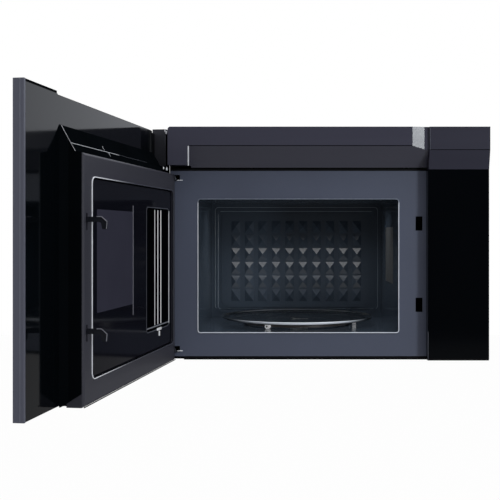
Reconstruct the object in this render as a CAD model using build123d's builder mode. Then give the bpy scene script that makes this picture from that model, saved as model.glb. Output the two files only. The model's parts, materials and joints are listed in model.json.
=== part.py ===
"""Over the range microwave, 24 inch class, drawn with its full-width door open at the left.

Millimetres. The origin is the centre of the rear (wall) face. +X is right, +Z is up and the
front looks along -Y. The door is drawn shut and then turned open about its hinge axis.
"""

from build123d import *
from math import cos, radians, sin
import os

os.makedirs("parts", exist_ok=True)

# ---------------------------------------------------------------- driving dimensions

body_width = 606.0
body_height = 442.0
frame_depth = 345.0  # wall to the enamelled front frame
trim_overhang = 33.0  # front frame to the face of the top trim
housing_overhang = 23.0  # front frame to the face of the right-hand housing
case_sheet = 1.2
touch = 0.0  # flat faces that bear on each other
slip = 0.3  # clearance between pieces that move past each other
running_fit = 0.05  # radial clearance of a shaft in its hole

half_width = body_width / 2
top_z = body_height / 2
bottom_z = -body_height / 2
frame_y = -frame_depth
trim_y = frame_y - trim_overhang
housing_y = frame_y - housing_overhang
inside_x = half_width - case_sheet
inside_top = top_z - case_sheet
frame_back_y = frame_y + case_sheet
rear_inner_y = -case_sheet

# front frame and oven cavity
hood_height = 81.0  # hood and trim above the front frame
pan_front_height = 6.5
cavity_left_margin = 54.4
works_bay_width = 168.3  # right of the cavity, for the microwave works
cavity_floor_margin = 45.6
cavity_roof_margin = 54.3
cavity_back_margin = 25.0
frame_right = inside_x  # the sheet runs on behind the right-hand housing
frame_top = top_z - hood_height
frame_bottom = bottom_z + pan_front_height
cavity_left = cavity_left_margin - half_width
cavity_right = half_width - works_bay_width
cavity_floor = frame_bottom + cavity_floor_margin
cavity_roof = frame_top - cavity_roof_margin
cavity_width = cavity_right - cavity_left
cavity_height = cavity_roof - cavity_floor
cavity_depth = frame_depth - cavity_back_margin
cavity_centre_x = (cavity_left + cavity_right) / 2
cavity_centre_z = (cavity_floor + cavity_roof) / 2
cavity_sheet = 1.0
cavity_corner = 5.0
cavity_back_y = frame_y + cavity_depth
cavity_right_outer = cavity_right + cavity_sheet
pyramid_columns = 10
pyramid_rows = 6
pyramid_pitch_x = (cavity_width - 78.3) / pyramid_columns
pyramid_pitch_z = (cavity_height - 68.6) / pyramid_rows
pyramid_width = 20.0
pyramid_height = 27.0
pyramid_tip = 1.0
pyramid_rise = 5.0
pyramid_field_z = cavity_centre_z - 1.2
bead_inset = 9.0
bead_width = 5.0
bead_rise = 1.6
bead_gap = 8.0

# latch slots in the front frame
slot_centre_x = half_width - 128.9
slot_width = 13.2
slot_height = 27.2
slot_upper_z = cavity_roof - 46.3
slot_lower_z = cavity_floor + 52.6

# top trim
trim_wall = 2.0
trim_bottom = frame_top + 6.2
trim_fold = top_z - 35.7
trim_block_right = 37.5 - half_width
trim_block_bottom = frame_top + 8.9
trim_ramp_left = 41.0 - half_width
trim_facet_start = half_width - 146.0
trim_facet_end = half_width - 123.0
trim_facet_drop = 5.6
trim_split = half_width - 114.4
trim_split_gap = 0.6
trim_right_fold = top_z - 43.2
trim_corner = 5.0
grille_slot_length = 26.0
grille_slot_width = 4.0
grille_pitch = 36.0
grille_count = 12

# right-hand housing
housing_left = half_width - 115.5
housing_right = half_width
housing_top = frame_top + 1.5
housing_bottom = bottom_z + 1.0
housing_wall = 2.5
housing_chamfer = 3.0

# ---------------------------------------------------------------- door dimensions

door_open_angle = 98.3
hinge_x = 10.0 - half_width
hinge_y = frame_y - 3.4
hinge_pin_radius = 2.5
hinge_eye_radius = 5.0
hinge_plate = 2.0
hinge_upper_z = frame_top - 18.5
hinge_lower_z = bottom_z + 14.8
hinge_notch_left = hinge_x - 7.0
hinge_notch_right = hinge_x + 9.5
hinge_notch_height = 11.0

door_front_y = frame_y - 50.5
door_back_y = frame_y - 35.0
glass_thickness = 4.0
skin_thickness = 1.2
door_bottom = bottom_z + 3.5
door_top_left = top_z - 8.3
door_top_right = top_z - 3.6
door_step_x = half_width - 107.0
end_trim_width = 4.0
carrier_rail = 14.0
hinge_pocket_width = 54.0
hinge_pocket_bottom = frame_top + 10.0
hinge_cap_thickness = 3.0
hinge_cap_top = top_z
hinge_cap_back_y = frame_y - 17.0
hinge_cap_corner = 9.0

choke_left = 13.0 - half_width
choke_right = half_width - 118.0
choke_top = frame_top - 6.6
choke_bottom = bottom_z + 0.5
choke_face_y = frame_y - 2.0
choke_wall = 1.5
choke_corner = 4.0
choke_skirt_y = frame_y - 27.0
rim_left = cavity_left - 22.4
rim_right = cavity_right + 15.3
rim_top = cavity_roof + 14.1
rim_bottom = cavity_floor - 15.4
rim_corner = 9.0
rim_bead_width = 2.2
rim_bead_rise = 0.8

film_gap = 0.5
film_thickness = 1.5
door_frame_y = frame_y - 5.0  # face of the steel door frame, behind the film
window_left = cavity_left + 13.6
window_right = cavity_right - 14.7
window_top = cavity_roof - 19.7
window_bottom = cavity_floor + 18.9
screen_margin = 8.0
screen_thickness = 0.8

filler_base_z = frame_top - 6.0
filler_top = frame_top + 31.8
filler_crease_depth = 14.0
filler_crease_z = frame_top + 7.2
filler_depth = 21.0
filler_lip = 1.2
filler_left = 49.0 - half_width
side_cover_flare = 7.0
side_cover_y = frame_y - 5.0
side_cover_bottom = choke_bottom + 1.5

latch_bar_left = slot_centre_x - 6.6
latch_bar_right = slot_centre_x + 5.9
latch_bar_thickness = 5.0
latch_hook_width = 4.0
latch_hook_left = slot_centre_x - 3.1
latch_hook_reach = 30.0
latch_hook_upper_top = slot_upper_z + 5.1
latch_hook_lower_top = slot_lower_z + 4.8
latch_hook_drop = 17.5
latch_hook_stem = 7.5
latch_hook_tip = 7.0
latch_travel = 4.0
latch_spring_radius = 2.4
latch_spring_length = 30.0

# ---------------------------------------------------------------- turntable dimensions

turntable_x = cavity_centre_x - 0.05
turntable_y = frame_y + cavity_depth / 2 + 0.5
tray_radius = cavity_depth / 2 - 3.0
tray_thickness = 4.0
tray_rim_rise = 5.0
tray_rim_width = 9.0
roller_radius = 5.0
roller_width = 7.0
roller_track = tray_radius - 38.0
roller_axle_radius = 1.6
roller_count = 3
ring_outer = tray_radius - 47.0
ring_inner = tray_radius - 56.0
ring_thickness = 4.0
coupler_shaft_radius = 3.5
coupler_hub_radius = 9.0
coupler_lobe = 22.0
coupler_lobe_width = 7.0
coupler_height = 4.5
turntable_motor_radius = 25.0
turntable_motor_height = 17.0

roller_axis_z = cavity_floor + slip + roller_radius
tray_bottom = roller_axis_z + roller_radius + slip

# ---------------------------------------------------------------- hood and works dimensions

pan_lip = 12.0
filter_width = 160.0
filter_length = 150.0
filter_thickness = 7.0
filter_left_x = 98.0 - half_width
filter_right_x = filter_left_x + 247.0
filter_centre_y = frame_y + 130.0
filter_cell = 9.0
filter_pitch = 11.5
filter_columns = 12
filter_rows = 11
filter_ledge = 6.0
filter_travel = 12.0
filter_rail = 3.0
lamp_x = (filter_left_x + filter_right_x) / 2 - 0.5
lamp_width = 56.0
lamp_length = 90.0
lamp_y = filter_centre_y
lens_thickness = 2.5

shelf_z = frame_top + 3.0
shelf_back_y = frame_y + 45.0
charcoal_width = 290.0
charcoal_height = 66.0
charcoal_thickness = 14.0
charcoal_front_y = frame_y + 9.0
charcoal_cell = 13.0
charcoal_pitch = 17.0

blower_y = -89.0
blower_z = top_z - 73.0
blower_x = 0.0
wheel_radius = 42.0
wheel_width = 50.0
wheel_bore_radius = 31.0
blade_count = 24
blade_thickness = 1.6
blower_shaft_radius = 3.0
scroll_inner = 46.0
scroll_wall = 2.0
scroll_inlet = 30.0
scroll_gap = 3.0
blower_motor_radius = 34.0
blower_motor_length = 52.0
blower_foot_width = 40.0

exhaust_width = 254.0
exhaust_length = 82.5
exhaust_y = blower_y
collar_depth = 7.0
collar_wall = 3.0
damper_thickness = 2.0
damper_pin_radius = 1.5

magnetron_left = cavity_right + 42.3
magnetron_size = 86.0
magnetron_y = frame_y + 195.0
magnetron_z = cavity_centre_z + 19.6
fin_count = 6
antenna_radius = 8.0
guide_bottom = magnetron_z - 36.0
guide_top = magnetron_z + 36.0
guide_front_y = magnetron_y - 112.0
guide_back_y = magnetron_y + 50.0
guide_right = magnetron_left - touch
port_front_y = guide_front_y + 22.0
port_back_y = guide_front_y + 102.0
port_bottom = guide_bottom + 8.0
port_top = guide_top - 8.0
mica_front_y = frame_y + 87.0
mica_back_y = frame_y + 212.0
mica_bottom = cavity_floor + 87.9
mica_top = cavity_roof - 52.7
mica_thickness = 0.6

fan_x = magnetron_left + 45.0
fan_z = magnetron_z
fan_blade_radius = 46.0
fan_blades = 5
fan_hub_radius = 10.0
fan_shaft_radius = 2.5
fan_motor_radius = 24.0
fan_motor_back_y = rear_inner_y
fan_motor_length = 26.0
fan_front_y = -56.0
fan_depth = 14.0
shroud_inner = 50.0
shroud_outer = 58.0

# ---------------------------------------------------------------- helpers


def block(xs, ys, zs, mode=Mode.ADD):
    """A box between two X, two Y and two Z values, in the part that is open."""
    middle = ((xs[0] + xs[1]) / 2, (ys[0] + ys[1]) / 2, (zs[0] + zs[1]) / 2)
    with Locations(middle):
        Box(xs[1] - xs[0], ys[1] - ys[0], zs[1] - zs[0], mode=mode)


def rod_z(x, y, zs, radius, mode=Mode.ADD):
    """A cylinder standing along Z between two heights."""
    with Locations((x, y, (zs[0] + zs[1]) / 2)):
        Cylinder(radius, zs[1] - zs[0], mode=mode)


def rod_y(x, z, ys, radius, mode=Mode.ADD):
    """A cylinder lying along Y between two depths."""
    with Locations((x, (ys[0] + ys[1]) / 2, z)):
        Cylinder(radius, ys[1] - ys[0], rotation=(90, 0, 0), mode=mode)


def rod_x(y, z, xs, radius, mode=Mode.ADD):
    """A cylinder lying along X between two sides."""
    with Locations(((xs[0] + xs[1]) / 2, y, z)):
        Cylinder(radius, xs[1] - xs[0], rotation=(0, 90, 0), mode=mode)


def outline(plane, points):
    """A closed straight-sided face on a plane."""
    with BuildSketch(plane) as shape:
        with BuildLine():
            Polyline(*points, close=True)
        make_face()
    return shape.sketch


def plate_outline(plane, xs, zs, corner):
    """A rounded rectangle on an upright plane, between two X and two Z values."""
    with BuildSketch(plane) as shape:
        with Locations(((xs[0] + xs[1]) / 2, (zs[0] + zs[1]) / 2)):
            RectangleRounded(xs[1] - xs[0], zs[1] - zs[0], corner)
    return shape.sketch


def save(piece, name):
    """Label a finished piece and write its file."""
    piece.label = name
    export_step(piece, "parts/" + name + ".step")


hinge_axis = Axis((hinge_x, hinge_y, 0), (0, 0, 1))


def save_open(piece, name):
    """Swing a door piece from shut to open about the hinge pins, then save it."""
    save(piece.rotate(hinge_axis, -door_open_angle), name)


# ---------------------------------------------------------------- case

# top sheet with the exhaust opening and the cord hole, and the two side sheets under its edges
pan_left = 27.0 - half_width
pan_notch = 12.0  # the front left corner is cut back beside the hinge
pan_top = bottom_z + case_sheet
case_screw_ys = (frame_y + 45.0, frame_y / 2 + 2.5, -40.0)
case_screw_z = pan_top + pan_lip / 2
case_head_radius = 3.5
case_shank_radius = 1.8
cord_x = half_width - 48.0
cord_y = -38.0
cord_hole_radius = 11.0
cabinet_bolt_spacing = 430.0
cabinet_bolt_radius = 3.3
cabinet_bolt_y = -89.0
exhaust_xs = (-exhaust_width / 2, exhaust_width / 2)
exhaust_ys = (exhaust_y - exhaust_length / 2, exhaust_y + exhaust_length / 2)
with BuildPart() as case_top:
    block((-half_width, half_width), (frame_y, rear_inner_y), (inside_top, top_z))
    block(exhaust_xs, exhaust_ys, (inside_top, top_z), Mode.SUBTRACT)
    rod_z(cord_x, cord_y, (inside_top, top_z), cord_hole_radius, Mode.SUBTRACT)
    for side in (-1, 1):
        rod_z(side * cabinet_bolt_spacing / 2, cabinet_bolt_y, (inside_top, top_z),
              cabinet_bolt_radius, Mode.SUBTRACT)
case_sheets = [case_top.part.solid()]
for side in (-1, 1):
    with BuildPart() as case_side:
        side_xs = sorted((side * inside_x, side * half_width))
        block(side_xs, (frame_y, rear_inner_y), (bottom_z, inside_top))
        for screw_y in case_screw_ys:
            rod_x(screw_y, case_screw_z, side_xs, case_head_radius + running_fit, Mode.SUBTRACT)
    case_sheets.append(case_side.part.solid())
save(Compound(case_sheets), "outer_case")

# rear panel with two hanging slots and an intake field
hang_slot_width = 40.0
hang_slot_height = 8.0
hang_slot_x = 180.0
hang_slot_z = bottom_z + 71.0
with BuildPart() as rear_panel:
    block((-half_width, half_width), (rear_inner_y, 0), (bottom_z, top_z))
    with Locations((-hang_slot_x, -case_sheet / 2, hang_slot_z), (hang_slot_x, -case_sheet / 2, hang_slot_z)):
        Box(hang_slot_width, case_sheet, hang_slot_height, mode=Mode.SUBTRACT)
    with BuildSketch(Plane.XZ):
        with Locations((fan_x, fan_z)):
            with PolarLocations(34.0, 12):
                Circle(4.0)
    extrude(amount=case_sheet, mode=Mode.SUBTRACT)
save(rear_panel.part, "rear_panel")

# underside pan: filter openings with slide rails, lamp opening and the dark front lip
with BuildPart() as base_pan:
    block((-inside_x, inside_x), (frame_back_y, rear_inner_y), (bottom_z, pan_top))
    block((-inside_x, inside_x), (rear_inner_y - case_sheet, rear_inner_y), (pan_top, pan_top + pan_lip))
    block((-inside_x, case_sheet - inside_x), (frame_back_y, rear_inner_y), (pan_top, pan_top + pan_lip))
    block((inside_x - case_sheet, inside_x), (frame_back_y, rear_inner_y), (pan_top, pan_top + pan_lip))
    block((pan_left, frame_right), (frame_y, frame_back_y), (bottom_z, frame_bottom))
    block((-inside_x, pan_left), (frame_back_y, frame_back_y + pan_notch), (bottom_z, pan_top + pan_lip),
          Mode.SUBTRACT)
    for filter_x in (filter_left_x, filter_right_x):
        open_xs = (filter_x - filter_width / 2 + filter_ledge, filter_x + filter_width / 2 - filter_ledge)
        open_ys = (filter_centre_y - filter_length / 2 + filter_ledge,
                   filter_centre_y + filter_length / 2 - filter_ledge)
        block(open_xs, open_ys, (bottom_z, pan_top), Mode.SUBTRACT)
        rail_ys = (filter_centre_y - filter_length / 2, filter_centre_y + filter_length / 2 + filter_travel)
        rail_top = pan_top + filter_thickness + 2 * slip + case_sheet
        for side in (-1, 1):
            edge = filter_x + side * (filter_width / 2 + slip)
            wall_xs = sorted((edge, edge + side * filter_rail))
            lip_xs = sorted((edge - side * filter_ledge, edge + side * filter_rail))
            block(wall_xs, rail_ys, (pan_top, rail_top))
            block(lip_xs, rail_ys, (rail_top - case_sheet, rail_top))
    block((lamp_x - lamp_width / 2, lamp_x + lamp_width / 2),
          (lamp_y - lamp_length / 2, lamp_y + lamp_length / 2), (bottom_z, pan_top), Mode.SUBTRACT)
    for screw_y in case_screw_ys:
        rod_x(screw_y, case_screw_z, (-inside_x, inside_x), case_shank_radius + running_fit, Mode.SUBTRACT)
save(base_pan.part, "base_pan")

# enamelled front frame around the oven opening
frame_hole_xs = (cavity_left, cavity_right)
frame_hole_zs = (cavity_floor, cavity_roof)
with BuildPart() as front_frame:
    extrude(outline(Plane.XZ.offset(-frame_back_y),
                    [(-half_width, frame_bottom), (frame_right, frame_bottom), (frame_right, frame_top),
                     (-half_width, frame_top)]), amount=case_sheet)
    block((-half_width, -inside_x), (frame_y, frame_back_y), (frame_bottom, frame_top), Mode.SUBTRACT)
    extrude(plate_outline(Plane.XZ.offset(-frame_back_y), frame_hole_xs, frame_hole_zs, cavity_corner),
            amount=case_sheet, mode=Mode.SUBTRACT)
    for slot_z in (slot_upper_z, slot_lower_z):
        block((slot_centre_x - slot_width / 2, slot_centre_x + slot_width / 2), (frame_y, frame_back_y),
              (slot_z - slot_height / 2, slot_z + slot_height / 2), Mode.SUBTRACT)
    for hinge_z in (hinge_upper_z, hinge_lower_z):
        block((hinge_notch_left, hinge_notch_right), (frame_y, frame_back_y),
              (hinge_z - hinge_plate / 2, hinge_z + hinge_notch_height), Mode.SUBTRACT)
    # bright bead round the opening
    bead_z = (cavity_floor - bead_rise, cavity_roof + bead_rise)
    bead_x = (cavity_left - bead_rise, cavity_right + bead_rise)
    extrude(plate_outline(Plane.XZ.offset(frame_depth), bead_x, bead_z, cavity_corner + bead_rise), amount=0.6)
    extrude(plate_outline(Plane.XZ.offset(frame_depth), frame_hole_xs, frame_hole_zs, cavity_corner),
            amount=0.6, mode=Mode.SUBTRACT)
save(front_frame.part, "front_frame")

# oven cavity: five steel panels welded edge to edge, the back one embossed
roof_vent_rows = 4
vent_hole_radius = 2.0
outer_xs = (cavity_left - cavity_sheet, cavity_right_outer)
panel_ys = (frame_back_y, cavity_back_y)
with BuildPart() as floor_panel:
    block(outer_xs, panel_ys, (cavity_floor - cavity_sheet, cavity_floor))
    rod_z(turntable_x, turntable_y, (cavity_floor - cavity_sheet, cavity_floor), coupler_shaft_radius + 1.5,
          Mode.SUBTRACT)

with BuildPart() as roof_panel:
    block(outer_xs, panel_ys, (cavity_roof, cavity_roof + cavity_sheet))
    with Locations((cavity_left + 60, cavity_back_y - 50, cavity_roof + cavity_sheet / 2)):
        with GridLocations(3.5 * vent_hole_radius, 3.5 * vent_hole_radius, 10, roof_vent_rows):
            Cylinder(vent_hole_radius, cavity_sheet, mode=Mode.SUBTRACT)

with BuildPart() as left_panel:
    block((outer_xs[0], cavity_left), panel_ys, (cavity_floor, cavity_roof))

with BuildPart() as right_panel:
    block((cavity_right, outer_xs[1]), panel_ys, (cavity_floor, cavity_roof))
    block((cavity_right, cavity_right_outer), (port_front_y, port_back_y), (port_bottom, port_top),
          Mode.SUBTRACT)

with BuildPart() as back_panel:
    block(outer_xs, (cavity_back_y, cavity_back_y + cavity_sheet),
          (cavity_floor - cavity_sheet, cavity_roof + cavity_sheet))
    # formed pyramids and two beads
    wall_plane = Plane(origin=(cavity_centre_x, cavity_back_y, cavity_centre_z), x_dir=(1, 0, 0),
                       z_dir=(0, -1, 0))
    field_plane = wall_plane.offset(0)
    field_plane.origin = (cavity_centre_x, cavity_back_y, pyramid_field_z)
    tip_xs = ((pyramid_width - pyramid_tip) / 2, (pyramid_width + pyramid_tip) / 2)
    tip_zs = ((pyramid_height - pyramid_tip) / 2, (pyramid_height + pyramid_tip) / 2)
    with Locations(field_plane):
        with GridLocations(pyramid_pitch_x, pyramid_pitch_z, pyramid_columns, pyramid_rows):
            Wedge(pyramid_width, pyramid_rise, pyramid_height, tip_xs[0], tip_zs[0], tip_xs[1], tip_zs[1],
                  rotation=(90, 0, 0), align=(Align.CENTER, Align.MIN, Align.CENTER))
    with BuildSketch(wall_plane):
        for bead in (0, 1):
            inset = bead_inset + bead * (bead_width + bead_gap)
            RectangleRounded(cavity_width - 2 * inset, cavity_height - 2 * inset, 2 * bead_inset)
            RectangleRounded(cavity_width - 2 * (inset + bead_width), cavity_height - 2 * (inset + bead_width),
                             2 * bead_inset - bead_width, mode=Mode.SUBTRACT)
    extrude(amount=bead_rise)
cavity_panels = (floor_panel, roof_panel, left_panel, right_panel, back_panel)
save(Compound([panel.part.solid() for panel in cavity_panels]), "oven_cavity")

# ---------------------------------------------------------------- top trim and right-hand housing

# the trim is a thin moulding: front face, sloping lower face, top and a solid-sided left end
with BuildPart() as top_trim:
    left_profile = [(trim_y, top_z), (trim_y, trim_fold), (frame_y, trim_bottom), (frame_y, top_z)]
    extrude(outline(Plane.YZ.offset(trim_ramp_left), left_profile), amount=trim_split - trim_ramp_left)
    block((-half_width, trim_ramp_left), (trim_y, frame_y), (trim_block_bottom, top_z))
    # shallow facet at the right end of the face
    facet = [(trim_facet_start, trim_y), (trim_facet_end, trim_y + trim_facet_drop),
             (trim_split, trim_y + trim_facet_drop), (trim_split, trim_y - 1), (trim_facet_start, trim_y - 1)]
    extrude(outline(Plane.XY.offset(trim_bottom), facet), amount=top_z - trim_bottom, mode=Mode.SUBTRACT)
    with BuildSketch(Plane.XZ.offset(-trim_y)):
        with Locations((-half_width, top_z)):
            Rectangle(2 * trim_corner, 2 * trim_corner)
        with Locations((-half_width + trim_corner, top_z - trim_corner)):
            Circle(trim_corner, mode=Mode.SUBTRACT)
        with Locations((-half_width + trim_corner, top_z)):
            Rectangle(2 * trim_corner, 4 * trim_corner, align=(Align.MIN, Align.CENTER), mode=Mode.SUBTRACT)
        with Locations((-half_width, top_z - trim_corner)):
            Rectangle(4 * trim_corner, 2 * trim_corner, align=(Align.CENTER, Align.MAX), mode=Mode.SUBTRACT)
    extrude(amount=-trim_overhang, mode=Mode.SUBTRACT)
    # hollow behind
    hollow_face = trim_y + trim_facet_drop + trim_wall
    hollow_slope = trim_wall * 1.6
    hollow_profile = [(hollow_face, top_z - trim_wall), (hollow_face, trim_fold + hollow_slope - trim_facet_drop),
                      (frame_y, trim_bottom + hollow_slope), (frame_y, top_z - trim_wall)]
    extrude(outline(Plane.YZ.offset(trim_ramp_left), hollow_profile),
            amount=trim_split - trim_wall - trim_ramp_left, mode=Mode.SUBTRACT)
    block((trim_corner - half_width, trim_block_right), (trim_y + trim_wall, frame_y),
          (trim_block_bottom + trim_wall, top_z - trim_corner), Mode.SUBTRACT)
    # air outlet slots through the top, behind the face
    with Locations((0, (trim_y + frame_y) / 2 + trim_wall, top_z - trim_wall / 2)):
        with GridLocations(grille_pitch, 2 * grille_slot_width, grille_count, 2):
            Box(grille_slot_length, grille_slot_width, trim_wall, mode=Mode.SUBTRACT)
save(top_trim.part, "top_trim")

trim_right_left = trim_split + trim_split_gap
with BuildPart() as trim_right_end:
    right_profile = [(trim_y, top_z), (trim_y, trim_right_fold), (housing_y, housing_top), (frame_y, housing_top),
                     (frame_y, top_z)]
    extrude(outline(Plane.YZ.offset(trim_right_left), right_profile), amount=half_width - trim_right_left)
    inner_profile = [(trim_y + trim_wall, top_z - trim_wall), (trim_y + trim_wall, trim_right_fold),
                     (housing_y + trim_wall, housing_top + trim_wall), (frame_y, housing_top + trim_wall),
                     (frame_y, top_z - trim_wall)]
    extrude(outline(Plane.YZ.offset(trim_right_left + trim_wall), inner_profile),
            amount=half_width - trim_right_left - 2 * trim_wall, mode=Mode.SUBTRACT)
save(trim_right_end.part, "trim_right_end")

with BuildPart() as control_housing:
    block((housing_left, housing_right), (housing_y, frame_y), (housing_bottom, housing_top))
    chamfer(control_housing.edges().filter_by(Axis.X).group_by(Axis.Y)[0].sort_by(Axis.Z)[0], housing_chamfer)
    block((housing_left + housing_wall, housing_right - housing_wall), (housing_y + housing_wall, frame_y),
          (housing_bottom + housing_wall, housing_top - housing_wall), Mode.SUBTRACT)
save(control_housing.part, "control_housing")

# shelf above the oven that carries the charcoal filter
with BuildPart() as air_shelf:
    block((-inside_x, inside_x), (frame_y, shelf_back_y), (shelf_z, shelf_z + case_sheet))
    block((-inside_x, inside_x), (frame_y, frame_back_y), (frame_top, shelf_z))
    charcoal_back_y = charcoal_front_y + charcoal_thickness
    for lip_y in (charcoal_front_y - case_sheet, charcoal_back_y):
        block((-charcoal_width / 2, charcoal_width / 2), (lip_y, lip_y + case_sheet),
              (shelf_z + case_sheet, shelf_z + 4 * case_sheet))
save(air_shelf.part, "air_shelf")

with BuildPart() as charcoal_filter:
    charcoal_zs = (shelf_z + case_sheet, shelf_z + case_sheet + charcoal_height)
    block((-charcoal_width / 2, charcoal_width / 2), (charcoal_front_y, charcoal_back_y), charcoal_zs)
    with Locations((0, (charcoal_front_y + charcoal_back_y) / 2, sum(charcoal_zs) / 2)):
        with GridLocations(charcoal_pitch, 1, 16, 1):
            Box(charcoal_cell, charcoal_thickness, charcoal_height - 2 * case_sheet - 6, mode=Mode.SUBTRACT)
    block((-charcoal_width / 2, charcoal_width / 2), (charcoal_front_y + 5, charcoal_back_y - 5), charcoal_zs)
save(charcoal_filter.part, "charcoal_filter")

# ---------------------------------------------------------------- hinge brackets on the body

with BuildPart() as hinge_brackets:
    for bracket_z, flange_height in ((hinge_upper_z, 22.0), (hinge_lower_z, 8.0)):
        plate_low = bracket_z - hinge_plate / 2
        plate_high = bracket_z + hinge_plate / 2
        block((hinge_notch_left + slip, hinge_x + 4), (hinge_y - 4.5, frame_back_y + case_sheet),
              (plate_low + slip, plate_high))
        block((hinge_notch_left + slip, hinge_notch_right + 20), (frame_back_y, frame_back_y + 1.5),
              (plate_low - flange_height, plate_high))
        rod_z(hinge_x, hinge_y, (plate_high, plate_high + 3 * hinge_plate), hinge_pin_radius)
save(hinge_brackets.part, "hinge_brackets")

# ---------------------------------------------------------------- microwave works

with BuildPart() as waveguide:
    block((cavity_right_outer, guide_right), (guide_front_y, guide_back_y), (guide_bottom, guide_top))
    block((cavity_right_outer, guide_right - case_sheet),
          (guide_front_y + case_sheet, guide_back_y - case_sheet),
          (guide_bottom + case_sheet, guide_top - case_sheet), Mode.SUBTRACT)
    rod_x(magnetron_y, magnetron_z, (guide_right - case_sheet, guide_right), antenna_radius + 1, Mode.SUBTRACT)
save(waveguide.part, "waveguide")

with BuildPart() as waveguide_cover:
    block((cavity_right - mica_thickness, cavity_right), (mica_front_y, mica_back_y), (mica_bottom, mica_top))
save(waveguide_cover.part, "waveguide_cover")

magnetron_right = magnetron_left + magnetron_size
magnetron_half = magnetron_size / 2
with BuildPart() as magnetron:
    yoke_ys = (magnetron_y - magnetron_half, magnetron_y + magnetron_half)
    yoke_zs = (magnetron_z - magnetron_half, magnetron_z + magnetron_half)
    block((magnetron_left, magnetron_right), yoke_ys, yoke_zs)
    block((magnetron_left + 3, magnetron_right - 3), yoke_ys, (yoke_zs[0] + 3, yoke_zs[1] - 3), Mode.SUBTRACT)
    rod_x(magnetron_y, magnetron_z, (magnetron_left, magnetron_right), 20.0)
    fin_step = (magnetron_size - 30) / (fin_count + 1)
    for fin in range(1, fin_count + 1):
        fin_x = magnetron_left + 15 + fin * fin_step
        block((fin_x, fin_x + 1.2), yoke_ys, (yoke_zs[0] + 3, yoke_zs[1] - 3))
    rod_x(magnetron_y, magnetron_z, (magnetron_left - 26, magnetron_left), antenna_radius)
    block((magnetron_right, magnetron_right + 20), (magnetron_y - 22, magnetron_y + 22),
          (magnetron_z - 22, magnetron_z + 22))
save(magnetron.part, "magnetron")

transformer_x = half_width - 81.0
transformer_y = frame_y + 155.0
transformer_core = (94.0, 66.0, 76.0)
transformer_base = pan_top
with BuildPart() as high_voltage_transformer:
    half_x = transformer_core[0] / 2
    half_y = transformer_core[1] / 2
    core_top = transformer_base + 3 + transformer_core[2]
    block((transformer_x - half_x - 10, transformer_x + half_x + 10), (transformer_y - half_y, transformer_y + half_y),
          (transformer_base, transformer_base + 3))
    block((transformer_x - half_x, transformer_x + half_x), (transformer_y - half_y, transformer_y + half_y),
          (transformer_base + 3, core_top))
    for window in (-1, 1):
        window_x = transformer_x + window * transformer_core[0] / 4
        block((window_x - 9, window_x + 9), (transformer_y - half_y, transformer_y + half_y),
              (transformer_base + 18, core_top - 15), Mode.SUBTRACT)
    with BuildSketch(Plane.XY.offset(transformer_base + 22)):
        with Locations((transformer_x, transformer_y)):
            RectangleRounded(2 * transformer_core[0] / 4 + 14, transformer_core[1] + 34, 12)
    extrude(amount=transformer_core[2] - 40)
save(high_voltage_transformer.part, "high_voltage_transformer")

capacitor_x = half_width - 98.0
capacitor_y = frame_y + 49.0
capacitor_radius = 17.0
capacitor_length = 88.0
with BuildPart() as high_voltage_capacitor:
    can_z = pan_top + capacitor_radius + case_sheet
    with BuildSketch(Plane.YZ.offset(capacitor_x - capacitor_length / 2)):
        with Locations((capacitor_y, can_z)):
            SlotOverall(52.0, 2 * capacitor_radius)
    extrude(amount=capacitor_length)
    block((capacitor_x - 8, capacitor_x + 8), (capacitor_y - 40, capacitor_y + 40), (pan_top, pan_top + case_sheet + 1))
    for terminal in (-1, 1):
        block((capacitor_x + capacitor_length / 2, capacitor_x + capacitor_length / 2 + 9),
              (capacitor_y + terminal * 12 - 3, capacitor_y + terminal * 12 + 3), (can_z - 0.5, can_z + 0.5))
save(high_voltage_capacitor.part, "high_voltage_capacitor")

diode_x = half_width - 33.0
with BuildPart() as high_voltage_diode:
    block((diode_x - 4, diode_x + 4), (capacitor_y + 20, capacitor_y + 42), (pan_top, pan_top + 8))
    rod_y(diode_x, pan_top + 4, (capacitor_y + 6, capacitor_y + 20), 0.8)
    rod_y(diode_x, pan_top + 4, (capacitor_y + 42, capacitor_y + 58), 0.8)
    block((diode_x - 4, diode_x + 4), (capacitor_y + 58, capacitor_y + 59.2), (pan_top, pan_top + 10))
save(high_voltage_diode.part, "high_voltage_diode")

# plastic bracket behind the latch slots with three switches
bracket_left = slot_centre_x - 12.1
bracket_right = slot_centre_x + 11.9
bracket_depth = 46.0
hook_zone_back = frame_back_y + latch_hook_reach + 2
with BuildPart() as interlock_bracket:
    block((bracket_left, bracket_right), (frame_back_y, frame_back_y + 2),
          (slot_lower_z - 26, slot_upper_z + 26))
    block((bracket_left, bracket_left + 3), (frame_back_y, frame_back_y + bracket_depth),
          (slot_lower_z - 26, slot_upper_z + 26))
    for slot_z in (slot_upper_z, slot_lower_z):
        block((slot_centre_x - slot_width / 2, slot_centre_x + slot_width / 2), (frame_back_y, frame_back_y + 2),
              (slot_z - slot_height / 2, slot_z + slot_height / 2), Mode.SUBTRACT)
        block((bracket_left, bracket_right), (hook_zone_back, hook_zone_back + 3), (slot_z - 18, slot_z + 18))
save(interlock_bracket.part, "interlock_bracket")

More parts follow.
